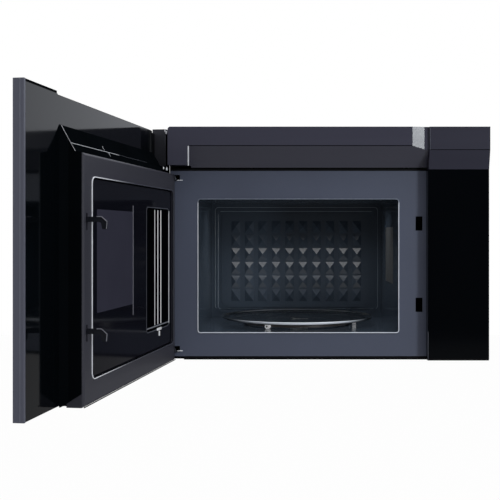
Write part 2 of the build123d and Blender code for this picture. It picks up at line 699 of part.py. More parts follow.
switch_size = (10.0, 16.0, 28.0)
switch_y = hook_zone_back + 3
with BuildPart() as interlock_switches:
    for switch_z in (slot_upper_z, slot_lower_z + 6):
        block((bracket_left + 3, bracket_left + 3 + switch_size[0]), (switch_y, switch_y + switch_size[1]),
              (switch_z - switch_size[2] / 2, switch_z + switch_size[2] / 2))
        block((bracket_left + 5, bracket_left + 8), (switch_y + switch_size[1], switch_y + switch_size[1] + 8),
              (switch_z - 1.5, switch_z + 1.5))
    block((bracket_left + 4 + switch_size[0], bracket_left + 4 + 2 * switch_size[0]),
          (switch_y, switch_y + switch_size[1]),
          (slot_upper_z - switch_size[2] / 2, slot_upper_z + switch_size[2] / 2))
save(interlock_switches.part, "interlock_switches")

# relay and supply board on the right wall
board_x = inside_x - 11.8
board_front_y = frame_y + 25.0
board_length = 130.0
board_bottom = cavity_centre_z - 18.4
board_height = 180.0
post_inset = 8.0
with BuildPart() as power_board:
    board_back_y = board_front_y + board_length
    board_top = board_bottom + board_height
    block((board_x, board_x + 1.6), (board_front_y, board_back_y), (board_bottom, board_top))
    for post_y in (board_front_y + post_inset, board_back_y - post_inset):
        for post_z in (board_bottom + post_inset, board_top - post_inset):
            rod_x(post_y, post_z, (board_x + 1.6, inside_x), 3.0)
    block((board_x - 30, board_x), (board_front_y + 10, board_front_y + 50), (board_top - 60, board_top - 20))
    for relay in range(3):
        relay_y = board_front_y + 65 + 20 * relay
        block((board_x - 16, board_x), (relay_y, relay_y + 15), (board_bottom + 80, board_bottom + 108))
    for coil in range(4):
        rod_x(board_front_y + 20, board_bottom + 30 + 22 * coil, (board_x - 20, board_x), 7.0)
save(power_board.part, "power_board")

noise_left = half_width - 118.0
noise_bottom = top_z - 71.0
noise_standoff = 10.4
with BuildPart() as noise_filter:
    noise_back_y = rear_inner_y - noise_standoff
    noise_face_y = noise_back_y - 1.6
    block((noise_left, noise_left + 60), (noise_face_y, noise_back_y), (noise_bottom, noise_bottom + 50))
    for post_x in (noise_left + 5, noise_left + 55):
        rod_y(post_x, noise_bottom + 5, (noise_back_y, rear_inner_y), 3.0)
    rod_y(noise_left + 25, noise_bottom + 25, (noise_face_y - 18, noise_face_y), 13.0)
    block((noise_left + 43, noise_left + 57), (noise_face_y - 12, noise_face_y), (noise_bottom + 15, noise_bottom + 40))
save(noise_filter.part, "noise_filter")

bushing_bore = 4.5
with BuildPart() as cord_bushing:
    rod_z(cord_x, cord_y, (inside_top - 9, top_z), cord_hole_radius - slip)
    rod_z(cord_x, cord_y, (inside_top - 3, inside_top), cord_hole_radius + 3)
    rod_z(cord_x, cord_y, (inside_top - 9, top_z), bushing_bore, Mode.SUBTRACT)
save(cord_bushing.part, "cord_bushing")

with BuildPart() as thermal_cutouts:
    rod_z(magnetron_left + 40, magnetron_y, (magnetron_z + magnetron_half, magnetron_z + magnetron_half + 8), 8.0)
    rod_z(cavity_centre_x + 80, frame_y + 60, (cavity_roof + cavity_sheet, cavity_roof + cavity_sheet + 8), 8.0)
save(thermal_cutouts.part, "thermal_cutouts")

lamp_port_y = frame_y + 60
lamp_port_z = cavity_roof - 30.7
with BuildPart() as oven_lamp:
    block((cavity_right_outer, cavity_right_outer + 24), (lamp_port_y - 16, lamp_port_y + 16),
          (lamp_port_z - 16, lamp_port_z + 16))
    rod_x(lamp_port_y, lamp_port_z, (cavity_right_outer, cavity_right_outer + 20), 13.0, Mode.SUBTRACT)
    rod_x(lamp_port_y, lamp_port_z, (cavity_right_outer + 4, cavity_right_outer + 20), 8.0)
save(oven_lamp.part, "oven_lamp")

# ---------------------------------------------------------------- cooling fan

with BuildPart() as cooling_fan_motor:
    motor_front = fan_motor_back_y - fan_motor_length
    block((fan_x - 24, fan_x + 24), (motor_front + 4, fan_motor_back_y), (fan_z - 30, fan_z - 8))
    rod_y(fan_x, fan_z, (motor_front, fan_motor_back_y), fan_motor_radius)
    rod_y(fan_x, fan_z, (motor_front, fan_motor_back_y - 4), fan_shaft_radius + running_fit, Mode.SUBTRACT)
save(cooling_fan_motor.part, "cooling_fan_motor")

with BuildPart() as cooling_fan_shroud:
    shroud_back_y = fan_front_y + fan_depth + 6
    rod_y(fan_x, fan_z, (fan_front_y - 6, shroud_back_y), shroud_outer)
    rod_y(fan_x, fan_z, (fan_front_y - 6, shroud_back_y), shroud_inner, Mode.SUBTRACT)
    for leg_x in (-1, 1):
        for leg_z in (-1, 1):
            place = (shroud_inner + shroud_outer) / 2 / 2 ** 0.5
            rod_y(fan_x + leg_x * place, fan_z + leg_z * place, (fan_front_y, rear_inner_y), 3.5)
save(cooling_fan_shroud.part, "cooling_fan_shroud")

with BuildPart() as cooling_fan_blade:
    blade_back_y = fan_front_y + fan_depth
    rod_y(fan_x, fan_z, (fan_front_y, blade_back_y), fan_hub_radius)
    rod_y(fan_x, fan_z, (blade_back_y, fan_motor_back_y - 4 - slip), fan_shaft_radius)
    for blade in range(fan_blades):
        turn = 360 / fan_blades * blade
        blade_plane = Plane(origin=(fan_x, (fan_front_y + blade_back_y) / 2, fan_z),
                            x_dir=(cos(radians(turn)), 0, sin(radians(turn))), z_dir=(0, -1, 0))
        with Locations(blade_plane):
            with Locations(Location((fan_hub_radius - 1, 0, 0), (30, 0, 0))):
                Box(fan_blade_radius - fan_hub_radius, 22, 1.6, align=(Align.MIN, Align.CENTER, Align.CENTER))
save(cooling_fan_blade.part, "cooling_fan_blade")

# ---------------------------------------------------------------- hood blower

left_wheel_xs = (blower_x - blower_motor_length / 2 - scroll_gap - scroll_wall - slip * 3 - wheel_width,
                 blower_x - blower_motor_length / 2 - scroll_gap - scroll_wall - slip * 3)
right_wheel_xs = (2 * blower_x - left_wheel_xs[1], 2 * blower_x - left_wheel_xs[0])
with BuildPart() as blower_motor:
    motor_xs = (blower_x - blower_motor_length / 2, blower_x + blower_motor_length / 2)
    rod_x(blower_y, blower_z, motor_xs, blower_motor_radius)
    block((blower_x - blower_foot_width / 2, blower_x + blower_foot_width / 2), (blower_y, rear_inner_y),
          (blower_z - 20, blower_z + 20))
    rod_x(blower_y, blower_z, motor_xs, blower_shaft_radius + running_fit, Mode.SUBTRACT)
save(blower_motor.part, "blower_motor")

with BuildPart() as blower_wheels:
    rod_x(blower_y, blower_z, (left_wheel_xs[0], right_wheel_xs[1]), blower_shaft_radius)
    for wheel_xs, disc_side in ((left_wheel_xs, 1), (right_wheel_xs, 0)):
        disc_x = wheel_xs[disc_side] - (2.0 if disc_side else 0.0)
        rod_x(blower_y, blower_z, (disc_x, disc_x + 2.0), wheel_radius)
        for end_x in (wheel_xs[0], wheel_xs[1] - 2.0):
            with BuildSketch(Plane.YZ.offset(end_x)):
                with Locations((blower_y, blower_z)):
                    Circle(wheel_radius)
                    Circle(wheel_bore_radius + 5, mode=Mode.SUBTRACT)
            extrude(amount=2.0)
        with BuildSketch(Plane.YZ.offset(wheel_xs[0])):
            with Locations((blower_y, blower_z)):
                with PolarLocations((wheel_radius + wheel_bore_radius) / 2 + 2.5, blade_count):
                    Rectangle(9, blade_thickness, rotation=35)
        extrude(amount=wheel_width)
save(blower_wheels.part, "blower_wheels")

exhaust_low = inside_top - collar_depth
with BuildPart() as blower_housings:
    for wheel_xs in (left_wheel_xs, right_wheel_xs):
        shell_xs = (wheel_xs[0] - slip * 3 - scroll_wall, wheel_xs[1] + slip * 3 + scroll_wall)
        inner_xs = (wheel_xs[0] - slip * 3, wheel_xs[1] + slip * 3)
        outer_r = scroll_inner + scroll_wall
        rod_x(blower_y, blower_z, shell_xs, outer_r)
        block(shell_xs, (blower_y - 30, blower_y + 30), (blower_z, exhaust_low))
        block(shell_xs, (blower_y + outer_r - 8, rear_inner_y), (blower_z - 10, blower_z + 10))
        rod_x(blower_y, blower_z, inner_xs, scroll_inner, Mode.SUBTRACT)
        block(inner_xs, (blower_y - 28, blower_y + 28), (blower_z, exhaust_low), Mode.SUBTRACT)
        rod_x(blower_y, blower_z, shell_xs, scroll_inlet, Mode.SUBTRACT)
save(blower_housings.part, "blower_housings")

with BuildPart() as exhaust_collar:
    collar_xs = (exhaust_xs[0] - collar_wall, exhaust_xs[1] + collar_wall)
    collar_ys = (exhaust_ys[0] - collar_wall, exhaust_ys[1] + collar_wall)
    block(collar_xs, collar_ys, (exhaust_low, inside_top))
    block(exhaust_xs, exhaust_ys, (exhaust_low, inside_top), Mode.SUBTRACT)
    ledge = 4.0
    block((exhaust_xs[0], exhaust_xs[0] + ledge), exhaust_ys, (exhaust_low, exhaust_low + 1))
    block((exhaust_xs[1] - ledge, exhaust_xs[1]), exhaust_ys, (exhaust_low, exhaust_low + 1))
    damper_z = exhaust_low + 1 + slip + damper_pin_radius
    damper_y = exhaust_ys[1] - 4.0
    rod_x(damper_y, damper_z, (collar_xs[0], collar_xs[1]), damper_pin_radius + running_fit, Mode.SUBTRACT)
save(exhaust_collar.part, "exhaust_collar")

with BuildPart() as exhaust_damper:
    flap_xs = (exhaust_xs[0] + 1, exhaust_xs[1] - 1)
    block(flap_xs, (exhaust_ys[0] + 1.5, damper_y), (damper_z - damper_thickness / 2, damper_z + damper_thickness / 2))
    rod_x(damper_y, damper_z, (exhaust_xs[0] - collar_wall + 0.5, exhaust_xs[1] + collar_wall - 0.5),
          damper_pin_radius)
save(exhaust_damper.part, "exhaust_damper")

# ---------------------------------------------------------------- cooktop lamp and grease filters

with BuildPart() as lamp_lens:
    block((lamp_x - lamp_width / 2, lamp_x + lamp_width / 2), (lamp_y - lamp_length / 2, lamp_y + lamp_length / 2),
          (bottom_z, pan_top))
    block((lamp_x - lamp_width / 2 - 5, lamp_x + lamp_width / 2 + 5),
          (lamp_y - lamp_length / 2 - 5, lamp_y + lamp_length / 2 + 5), (pan_top, pan_top + lens_thickness))
save(lamp_lens.part, "lamp_lens")

with BuildPart() as cooktop_lamp:
    lamp_base = pan_top + lens_thickness
    block((lamp_x - lamp_width / 2, lamp_x + lamp_width / 2), (lamp_y - lamp_length / 2, lamp_y + lamp_length / 2),
          (lamp_base, lamp_base + 26))
    block((lamp_x - lamp_width / 2 + 2, lamp_x + lamp_width / 2 - 2),
          (lamp_y - lamp_length / 2 + 2, lamp_y + lamp_length / 2 - 2), (lamp_base, lamp_base + 24), Mode.SUBTRACT)
    rod_y(lamp_x, lamp_base + 13, (lamp_y - lamp_length / 2 + 2, lamp_y - 10), 7.0)
    with Locations((lamp_x, lamp_y, lamp_base + 13)):
        Sphere(10.5)
save(cooktop_lamp.part, "cooktop_lamp")

filter_bottom = pan_top + slip
for filter_name, filter_x in (("grease_filter_left", filter_left_x), ("grease_filter_right", filter_right_x)):
    with BuildPart() as grease_filter:
        block((filter_x - filter_width / 2, filter_x + filter_width / 2),
              (filter_centre_y - filter_length / 2, filter_centre_y + filter_length / 2),
              (filter_bottom, filter_bottom + filter_thickness))
        with Locations((filter_x, filter_centre_y, filter_bottom + filter_thickness / 2)):
            with GridLocations(filter_pitch, filter_pitch, filter_columns, filter_rows):
                Box(filter_cell, filter_cell, filter_thickness, mode=Mode.SUBTRACT)
    save(grease_filter.part, filter_name)

# ---------------------------------------------------------------- turntable

motor_top = cavity_floor - cavity_sheet
with BuildPart() as turntable_motor:
    rod_z(turntable_x, turntable_y, (motor_top - turntable_motor_height, motor_top), turntable_motor_radius)
    block((turntable_x - 34, turntable_x + 34), (turntable_y - 9, turntable_y + 9), (motor_top - 1.2, motor_top))
    rod_z(turntable_x, turntable_y, (motor_top - turntable_motor_height + 4, motor_top),
          coupler_shaft_radius + running_fit, Mode.SUBTRACT)
save(turntable_motor.part, "turntable_motor")

coupler_top = tray_bottom
with BuildPart() as turntable_coupler:
    rod_z(turntable_x, turntable_y, (motor_top - turntable_motor_height + 4 + slip, coupler_top), coupler_shaft_radius)
    rod_z(turntable_x, turntable_y, (coupler_top - coupler_height, coupler_top), coupler_hub_radius)
    for lobe in range(3):
        lobe_turn = 120 * lobe
        with Locations(Location((turntable_x, turntable_y, coupler_top - coupler_height / 2), (0, 0, lobe_turn))):
            Box(coupler_lobe, coupler_lobe_width, coupler_height, align=(Align.MIN, Align.CENTER, Align.CENTER))
save(turntable_coupler.part, "turntable_coupler")

with BuildPart() as turntable_tray:
    with BuildSketch(Plane.XZ.offset(-turntable_y)):
        with BuildLine():
            flat_edge = tray_radius - tray_rim_width
            top_of_flat = tray_bottom + tray_thickness
            Polyline((turntable_x, tray_bottom), (turntable_x + flat_edge, tray_bottom),
                     (turntable_x + tray_radius, tray_bottom + tray_rim_rise),
                     (turntable_x + tray_radius, top_of_flat + tray_rim_rise - 1),
                     (turntable_x + tray_radius - 2, top_of_flat + tray_rim_rise - 1),
                     (turntable_x + flat_edge - 2, top_of_flat), (turntable_x, top_of_flat), close=True)
        make_face()
    revolve(axis=Axis((turntable_x, turntable_y, 0), (0, 0, 1)))
save(turntable_tray.part, "turntable_tray")

with BuildPart() as roller_ring:
    ring_z = roller_axis_z - ring_thickness / 2
    with BuildSketch(Plane.XY.offset(ring_z)):
        with Locations((turntable_x, turntable_y)):
            Circle(ring_outer)
            Circle(ring_inner, mode=Mode.SUBTRACT)
    extrude(amount=ring_thickness)
    for roller in range(roller_count):
        turn = 360 / roller_count * roller
        axle_start = Location((turntable_x, turntable_y, roller_axis_z), (0, 0, turn))
        with Locations(axle_start):
            with Locations(Location(((ring_outer - 1 + roller_track + roller_width / 2 + 1) / 2, 0, 0), (0, 90, 0))):
                Cylinder(roller_axle_radius, roller_track + roller_width / 2 + 2 - ring_outer)
save(roller_ring.part, "roller_ring")

for roller in range(roller_count):
    turn = 360 / roller_count * roller
    with BuildPart() as roller_wheel:
        with Locations(Location((turntable_x, turntable_y, roller_axis_z), (0, 0, turn))):
            with Locations(Location((roller_track, 0, 0), (0, 90, 0))):
                Cylinder(roller_radius, roller_width)
                Cylinder(roller_axle_radius + running_fit, roller_width, mode=Mode.SUBTRACT)
    save(roller_wheel.part, "roller_" + str(roller + 1))

# ---------------------------------------------------------------- door, drawn shut

glass_back_y = door_front_y + glass_thickness
skin_front_y = door_back_y - skin_thickness
door_left = -half_width - 0.4  # keeps the hinge cap off the end of the trim
door_right = half_width
panel_right = door_right - end_trim_width
pocket_right = door_left + hinge_pocket_width
stepped_panel = [(door_left, door_bottom), (panel_right, door_bottom), (panel_right, door_top_right),
                 (door_step_x, door_top_right), (door_step_x, door_top_left), (door_left, door_top_left)]

with BuildPart() as door_glass:
    extrude(outline(Plane.XZ.offset(-glass_back_y), stepped_panel), amount=glass_thickness)
save_open(door_glass.part, "door_glass")

pocket_zs = (hinge_pocket_bottom, door_top_right)
with BuildPart() as door_carrier:
    extrude(outline(Plane.XZ.offset(-skin_front_y), stepped_panel), amount=skin_front_y - glass_back_y)
    bay_zs = (door_bottom + carrier_rail, door_top_left - carrier_rail)
    block((door_left + carrier_rail, door_step_x - carrier_rail / 2), (glass_back_y, skin_front_y),
          (bay_zs[0], hinge_pocket_bottom - carrier_rail), Mode.SUBTRACT)
    block((door_step_x + carrier_rail / 2, panel_right - carrier_rail), (glass_back_y, skin_front_y), bay_zs,
          Mode.SUBTRACT)
    block((door_left, pocket_right), (glass_back_y, skin_front_y), pocket_zs, Mode.SUBTRACT)
save_open(door_carrier.part, "door_carrier")

skin_inset = 1.0
skin_drop = 4.0  # the skin stops this far below the top of the taller part
skin_panel = [(door_left, door_bottom + skin_inset), (panel_right, door_bottom + skin_inset),
              (panel_right, door_top_right - skin_drop), (door_step_x, door_top_right - skin_drop),
              (door_step_x, door_top_left - skin_inset), (pocket_right, door_top_left - skin_inset),
              (pocket_right, hinge_pocket_bottom), (door_left, hinge_pocket_bottom)]
with BuildPart() as door_back_skin:
    extrude(outline(Plane.XZ.offset(-door_back_y), skin_panel), amount=skin_thickness)
save_open(door_back_skin.part, "door_back_skin")

with BuildPart() as door_end_trim:
    block((panel_right, door_right), (door_front_y, door_back_y), (door_bottom, door_top_right))
    fillet(door_end_trim.edges().filter_by(Axis.Z).group_by(Axis.X)[-1], 1.0)
save_open(door_end_trim.part, "door_end_trim")

with BuildPart() as door_hinge_cap:
    cap_xs = (door_left - hinge_cap_thickness, door_left)
    block(cap_xs, (door_front_y, hinge_cap_back_y), (hinge_pocket_bottom, hinge_cap_top))
    back_corner = door_hinge_cap.edges().filter_by(Axis.X).group_by(Axis.Y)[-1].sort_by(Axis.Z)[-1]
    fillet(back_corner, hinge_cap_corner)
save_open(door_hinge_cap.part, "door_hinge_cap")

with BuildPart() as touch_board:
    touch_back_y = glass_back_y + 1.6
    touch_left = door_step_x + carrier_rail
    touch_right = panel_right - carrier_rail - 6
    block((touch_left, touch_right), (glass_back_y, touch_back_y), (door_bottom + 66.5, door_top_left - 42.7))
    block((touch_left + 10, touch_right - 10), (touch_back_y, touch_back_y + 5.4),
          (door_top_left - 92.7, door_top_left - 62.7))
    block((touch_left + 20, touch_left + 40), (touch_back_y, touch_back_y + 2.4),
          (door_bottom + 156.5, door_bottom + 176.5))
save_open(touch_board.part, "touch_board")

# plastic choke cover: the grey ring round the window, with its skirts
film_xs = (rim_left + film_gap, rim_right - film_gap)
film_zs = (rim_bottom + film_gap, rim_top - film_gap)
hook_slot_xs = (latch_hook_left - 1.0, latch_hook_left + latch_hook_width + 1.0)
hook_slots = [(top - latch_hook_drop - 1.0, top + latch_travel + 1.0)
              for top in (latch_hook_upper_top, latch_hook_lower_top)]
choke_xs = (choke_left, choke_right)
choke_zs = (choke_bottom, choke_top)
hinge_slot_width = 6.0
with BuildPart() as choke_cover:
    block(choke_xs, (choke_skirt_y, choke_face_y), choke_zs)
    fillet(choke_cover.edges().group_by(Axis.Y)[-1], choke_corner)
    inner_xs = (choke_left + choke_wall, choke_right - choke_wall)
    inner_zs = (choke_bottom + choke_wall, choke_top - choke_wall)
    extrude(plate_outline(Plane.XZ.offset(-choke_face_y + 2 * choke_wall), inner_xs, inner_zs, 1.0),
            amount=choke_face_y - 2 * choke_wall - choke_skirt_y, mode=Mode.SUBTRACT)
    extrude(plate_outline(Plane.XZ.offset(-choke_face_y), (rim_left - rim_bead_width, rim_right + rim_bead_width),
                          (rim_bottom - rim_bead_width, rim_top + rim_bead_width), rim_corner + rim_bead_width),
            amount=-rim_bead_rise)
    extrude(plate_outline(Plane.XZ.offset(-choke_face_y - rim_bead_rise), (rim_left, rim_right),
                          (rim_bottom, rim_top), rim_corner), amount=2 * choke_wall + rim_bead_rise,
            mode=Mode.SUBTRACT)
    for hook_zs in hook_slots:
        block(hook_slot_xs, (choke_face_y - 2 * choke_wall, choke_face_y), hook_zs, Mode.SUBTRACT)
    for hinge_z in (hinge_upper_z, hinge_lower_z):
        block((choke_left, choke_left + hinge_slot_width), (choke_skirt_y, choke_face_y),
              (hinge_z - hinge_plate / 2, hinge_z + 3 * hinge_plate), Mode.SUBTRACT)
save_open(choke_cover.part, "choke_cover")

# steel door frame behind it: plate with the window hole, rim walls back to the skin
frame_margin = choke_wall + slip
steel_xs = (choke_left + frame_margin, choke_right - frame_margin)
steel_zs = (choke_bottom + frame_margin, choke_top - frame_margin)
plate_back_y = door_frame_y - case_sheet
hinge_tab_height = 7.6
hinge_screw_drop = 2.7
door_screw_radius = 1.5
hinge_screw_xs = (steel_xs[0] + 8, steel_xs[0] + 18)
screw_rise = hinge_plate / 2 + slip + hinge_tab_height - hinge_screw_drop
spring_x = (latch_bar_left + latch_bar_right) / 2
lever_front_y = plate_back_y - slip
lever_back_y = lever_front_y - latch_bar_thickness
lever_bottom = latch_hook_lower_top - latch_hook_drop - 10
spring_zs = (lever_bottom - slip - latch_spring_length, lever_bottom - slip)
with BuildPart() as door_frame:
    block(steel_xs, (door_back_y, door_frame_y), steel_zs)
    block((steel_xs[0] + case_sheet, steel_xs[1] - case_sheet), (door_back_y, plate_back_y),
          (steel_zs[0] + case_sheet, steel_zs[1] - case_sheet), Mode.SUBTRACT)
    block((window_left, window_right), (plate_back_y, door_frame_y), (window_bottom, window_top), Mode.SUBTRACT)
    for hook_zs in hook_slots:
        block(hook_slot_xs, (plate_back_y, door_frame_y), hook_zs, Mode.SUBTRACT)
    for hinge_z in (hinge_upper_z, hinge_lower_z):
        block((steel_xs[0], choke_left + hinge_slot_width), (choke_skirt_y, door_frame_y),
              (hinge_z - hinge_plate / 2, hinge_z + 3 * hinge_plate), Mode.SUBTRACT)
        for screw_x in hinge_screw_xs:
            rod_y(screw_x, hinge_z + screw_rise, (plate_back_y, door_frame_y), door_screw_radius + running_fit,
                  Mode.SUBTRACT)
    # spring seat and the two keepers that hold the latch lever against the plate
    block((spring_x - 5, spring_x + 5), (lever_back_y, plate_back_y), (spring_zs[0] - 2, spring_zs[0]))
    keeper_xs = (latch_bar_left - slip - case_sheet, steel_xs[1] - case_sheet)
    keeper_ys = (lever_back_y - slip - case_sheet, plate_back_y)
    for keeper_z in (slot_lower_z + 46.3, slot_upper_z - 39.4):
        keeper_zs = (keeper_z, keeper_z + 16)
        block(keeper_xs, keeper_ys, keeper_zs)
        block((latch_bar_left - slip, latch_bar_right + slip), (lever_back_y - slip, plate_back_y), keeper_zs,
              Mode.SUBTRACT)
save_open(door_frame.part, "door_frame")

with BuildPart() as window_film:
    film_front_y = choke_face_y - choke_wall
    extrude(plate_outline(Plane.XZ.offset(-film_front_y), film_xs, film_zs, rim_corner - film_gap),
            amount=film_thickness)
save_open(window_film.part, "window_film")

with BuildPart() as window_screen:
    block((window_left - screen_margin, window_right + screen_margin),
          (plate_back_y - screen_thickness, plate_back_y),
          (window_bottom - screen_margin, window_top + screen_margin))
save_open(window_screen.part, "window_screen")

# black filler along the top of the door frame, and the flared cover down its free end
with BuildPart() as door_top_filler:
    crease_y = door_back_y + filler_crease_depth
    filler_front_y = door_back_y + filler_depth
    filler_profile = [(door_back_y, choke_top), (door_back_y, filler_top), (crease_y, filler_crease_z),
                      (crease_y, filler_crease_z - filler_lip), (filler_front_y, choke_top + 1.5),
                      (filler_front_y, choke_top)]
    extrude(outline(Plane.YZ.offset(filler_left), filler_profile), amount=choke_right - filler_left)
save_open(door_top_filler.part, "door_top_filler")

with BuildPart() as door_side_cover:
    cover_x = choke_right
    cover_plan = [(cover_x, side_cover_y), (cover_x + 0.6, side_cover_y), (cover_x + 0.6, housing_y - 1),
                  (cover_x + side_cover_flare, door_back_y), (cover_x, door_back_y)]
    extrude(outline(Plane.XY.offset(side_cover_bottom), cover_plan), amount=filler_top - side_cover_bottom)
    slope_cut = [(door_back_y, filler_top), (door_back_y, filler_top + 1), (side_cover_y, filler_top + 1),
                 (side_cover_y, filler_base_z), (filler_front_y, filler_base_z + 0.9)]
    extrude(outline(Plane.YZ.offset(cover_x), slope_cut), amount=side_cover_flare, mode=Mode.SUBTRACT)
    foot_cut = [(door_back_y + 2, side_cover_bottom), (side_cover_y, side_cover_bottom),
                (side_cover_y, side_cover_bottom + 18)]
    extrude(outline(Plane.YZ.offset(cover_x), foot_cut), amount=side_cover_flare, mode=Mode.SUBTRACT)
save_open(door_side_cover.part, "door_side_cover")

# two hinge arms that turn on the bracket pins
with BuildPart() as door_hinge_plates:
    for hinge_z in (hinge_upper_z, hinge_lower_z):
        arm_z = hinge_z + hinge_plate / 2 + slip
        arm_plan = [(hinge_x - 4, hinge_y - 3), (hinge_x + 2, hinge_y - 3), (steel_xs[0] + 24, plate_back_y),
                    (steel_xs[0] + 24, choke_skirt_y + 4), (steel_xs[0] + 2, choke_skirt_y + 4)]
        rod_z(hinge_x, hinge_y, (arm_z, arm_z + hinge_plate), hinge_eye_radius)
        extrude(outline(Plane.XY.offset(arm_z), arm_plan), amount=hinge_plate)
        tab_high = arm_z + hinge_tab_height
        block((steel_xs[0] + case_sheet + 1, steel_xs[0] + 24), (plate_back_y - 1.5, plate_back_y),
              (arm_z, tab_high))
        for screw_x in hinge_screw_xs:
            rod_y(screw_x, tab_high - hinge_screw_drop, (plate_back_y - 1.5, plate_back_y), door_screw_radius + running_fit,
                  Mode.SUBTRACT)
        rod_z(hinge_x, hinge_y, (arm_z, arm_z + hinge_plate), hinge_pin_radius + running_fit, Mode.SUBTRACT)
save_open(door_hinge_plates.part, "door_hinge_plates")

with BuildPart() as door_screws:
    for hinge_z in (hinge_upper_z, hinge_lower_z):
        for screw_x in hinge_screw_xs:
            rod_y(screw_x, hinge_z + screw_rise, (plate_back_y - 1.5, door_frame_y), door_screw_radius)
            rod_y(screw_x, hinge_z + screw_rise, (plate_back_y - 3.2, plate_back_y - 1.5), 1.7 * door_screw_radius)
save_open(door_screws.part, "door_screws")

# sprung latch lever with two hooks
with BuildPart() as latch_lever:
    block((latch_bar_left, latch_bar_right), (lever_back_y, lever_front_y), (lever_bottom, latch_hook_upper_top + 10))
    for hook_top in (latch_hook_upper_top, latch_hook_lower_top):
        hook_end = choke_face_y + latch_hook_reach
        stem_low = hook_top - latch_hook_stem
        hook_profile = [(lever_front_y, hook_top), (hook_end - 8, hook_top), (hook_end, hook_top - 7),
                        (hook_end - 1, hook_top - latch_hook_drop), (hook_end - latch_hook_tip, hook_top - latch_hook_drop),
                        (hook_end - latch_hook_tip - 2, stem_low - 1), (hook_end - latch_hook_tip - 5, stem_low),
                        (lever_front_y, stem_low)]
        extrude(outline(Plane.YZ.offset(latch_hook_left), hook_profile), amount=latch_hook_width)
save_open(latch_lever.part, "latch_lever")

spring_y = (lever_front_y + lever_back_y) / 2
spring_wire = 0.5
with BuildPart() as latch_spring:
    with BuildLine():
        coil = Helix(pitch=latch_spring_length / 8, height=latch_spring_length - 2 * spring_wire,
                     radius=latch_spring_radius - spring_wire,
                     center=(spring_x, spring_y, spring_zs[0] + spring_wire))
    with BuildSketch(Plane(origin=coil @ 0, z_dir=coil % 0)):
        Circle(spring_wire)
    sweep()
save_open(latch_spring.part, "latch_spring")

# ---------------------------------------------------------------- fasteners

# flush screws through the case sides into the lips of the pan
with BuildPart() as case_screws:
    for side in (-1, 1):
        for screw_y in case_screw_ys:
            shank_xs = sorted((side * inside_x, side * (inside_x - 8)))
            rod_x(screw_y, case_screw_z, shank_xs, case_shank_radius)
            rod_x(screw_y, case_screw_z, sorted((side * inside_x, side * half_width)), case_head_radius)
save(case_screws.part, "case_screws")
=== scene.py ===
"""Looks for the over the range microwave: finishes, dressed pieces, light and camera."""
import bmesh
import bpy
import json
from math import pi, radians
from mathutils import Matrix, Vector


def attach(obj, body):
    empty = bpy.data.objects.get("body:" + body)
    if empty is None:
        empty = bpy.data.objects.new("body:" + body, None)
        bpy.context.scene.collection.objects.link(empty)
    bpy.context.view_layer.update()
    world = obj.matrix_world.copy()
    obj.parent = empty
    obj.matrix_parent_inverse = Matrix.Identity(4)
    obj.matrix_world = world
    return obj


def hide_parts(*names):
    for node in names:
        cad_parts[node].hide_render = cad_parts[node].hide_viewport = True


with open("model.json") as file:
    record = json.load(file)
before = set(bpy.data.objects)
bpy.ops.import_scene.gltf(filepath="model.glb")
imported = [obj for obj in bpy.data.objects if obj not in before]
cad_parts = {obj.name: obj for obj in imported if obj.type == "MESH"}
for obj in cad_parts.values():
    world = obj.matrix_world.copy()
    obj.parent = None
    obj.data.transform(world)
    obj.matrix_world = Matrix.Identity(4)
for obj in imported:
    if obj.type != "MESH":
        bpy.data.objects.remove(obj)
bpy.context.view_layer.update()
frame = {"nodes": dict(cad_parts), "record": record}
nodes = frame["nodes"]

MM = 0.001
HINGE = Vector((-293, -348.4, 0)) * MM
OPEN_ANGLE = radians(-98.3)
SWING = Matrix.Translation(HINGE) @ Matrix.Rotation(OPEN_ANGLE, 4, "Z") @ Matrix.Translation(-HINGE)


# ---------------------------------------------------------------- shader words

class Wire:
    """One output socket; sums and comparisons on it add Math nodes."""

    def __init__(self, finish, socket):
        self.finish = finish
        self.socket = socket

    def sum_up(self, operation, *values):
        return self.finish.node("Math", {"operation": operation}, dict(enumerate(values)))[0]

    def __add__(self, other):
        return self.sum_up("ADD", self, other)

    def __radd__(self, other):
        return self.sum_up("ADD", other, self)

    def __rsub__(self, other):
        return self.sum_up("SUBTRACT", other, self)

    def __mul__(self, other):
        return self.sum_up("MULTIPLY", self, other)

    def __rmul__(self, other):
        return self.sum_up("MULTIPLY", other, self)

    def __gt__(self, other):
        return self.sum_up("GREATER_THAN", self, other)

    def __lt__(self, other):
        return self.sum_up("LESS_THAN", self, other)


class Outlets:
    """The outputs of one node, by name or number."""

    def __init__(self, finish, made):
        self.finish = finish
        self.made = made

    def __getitem__(self, key):
        return Wire(self.finish, self.made.outputs[key])


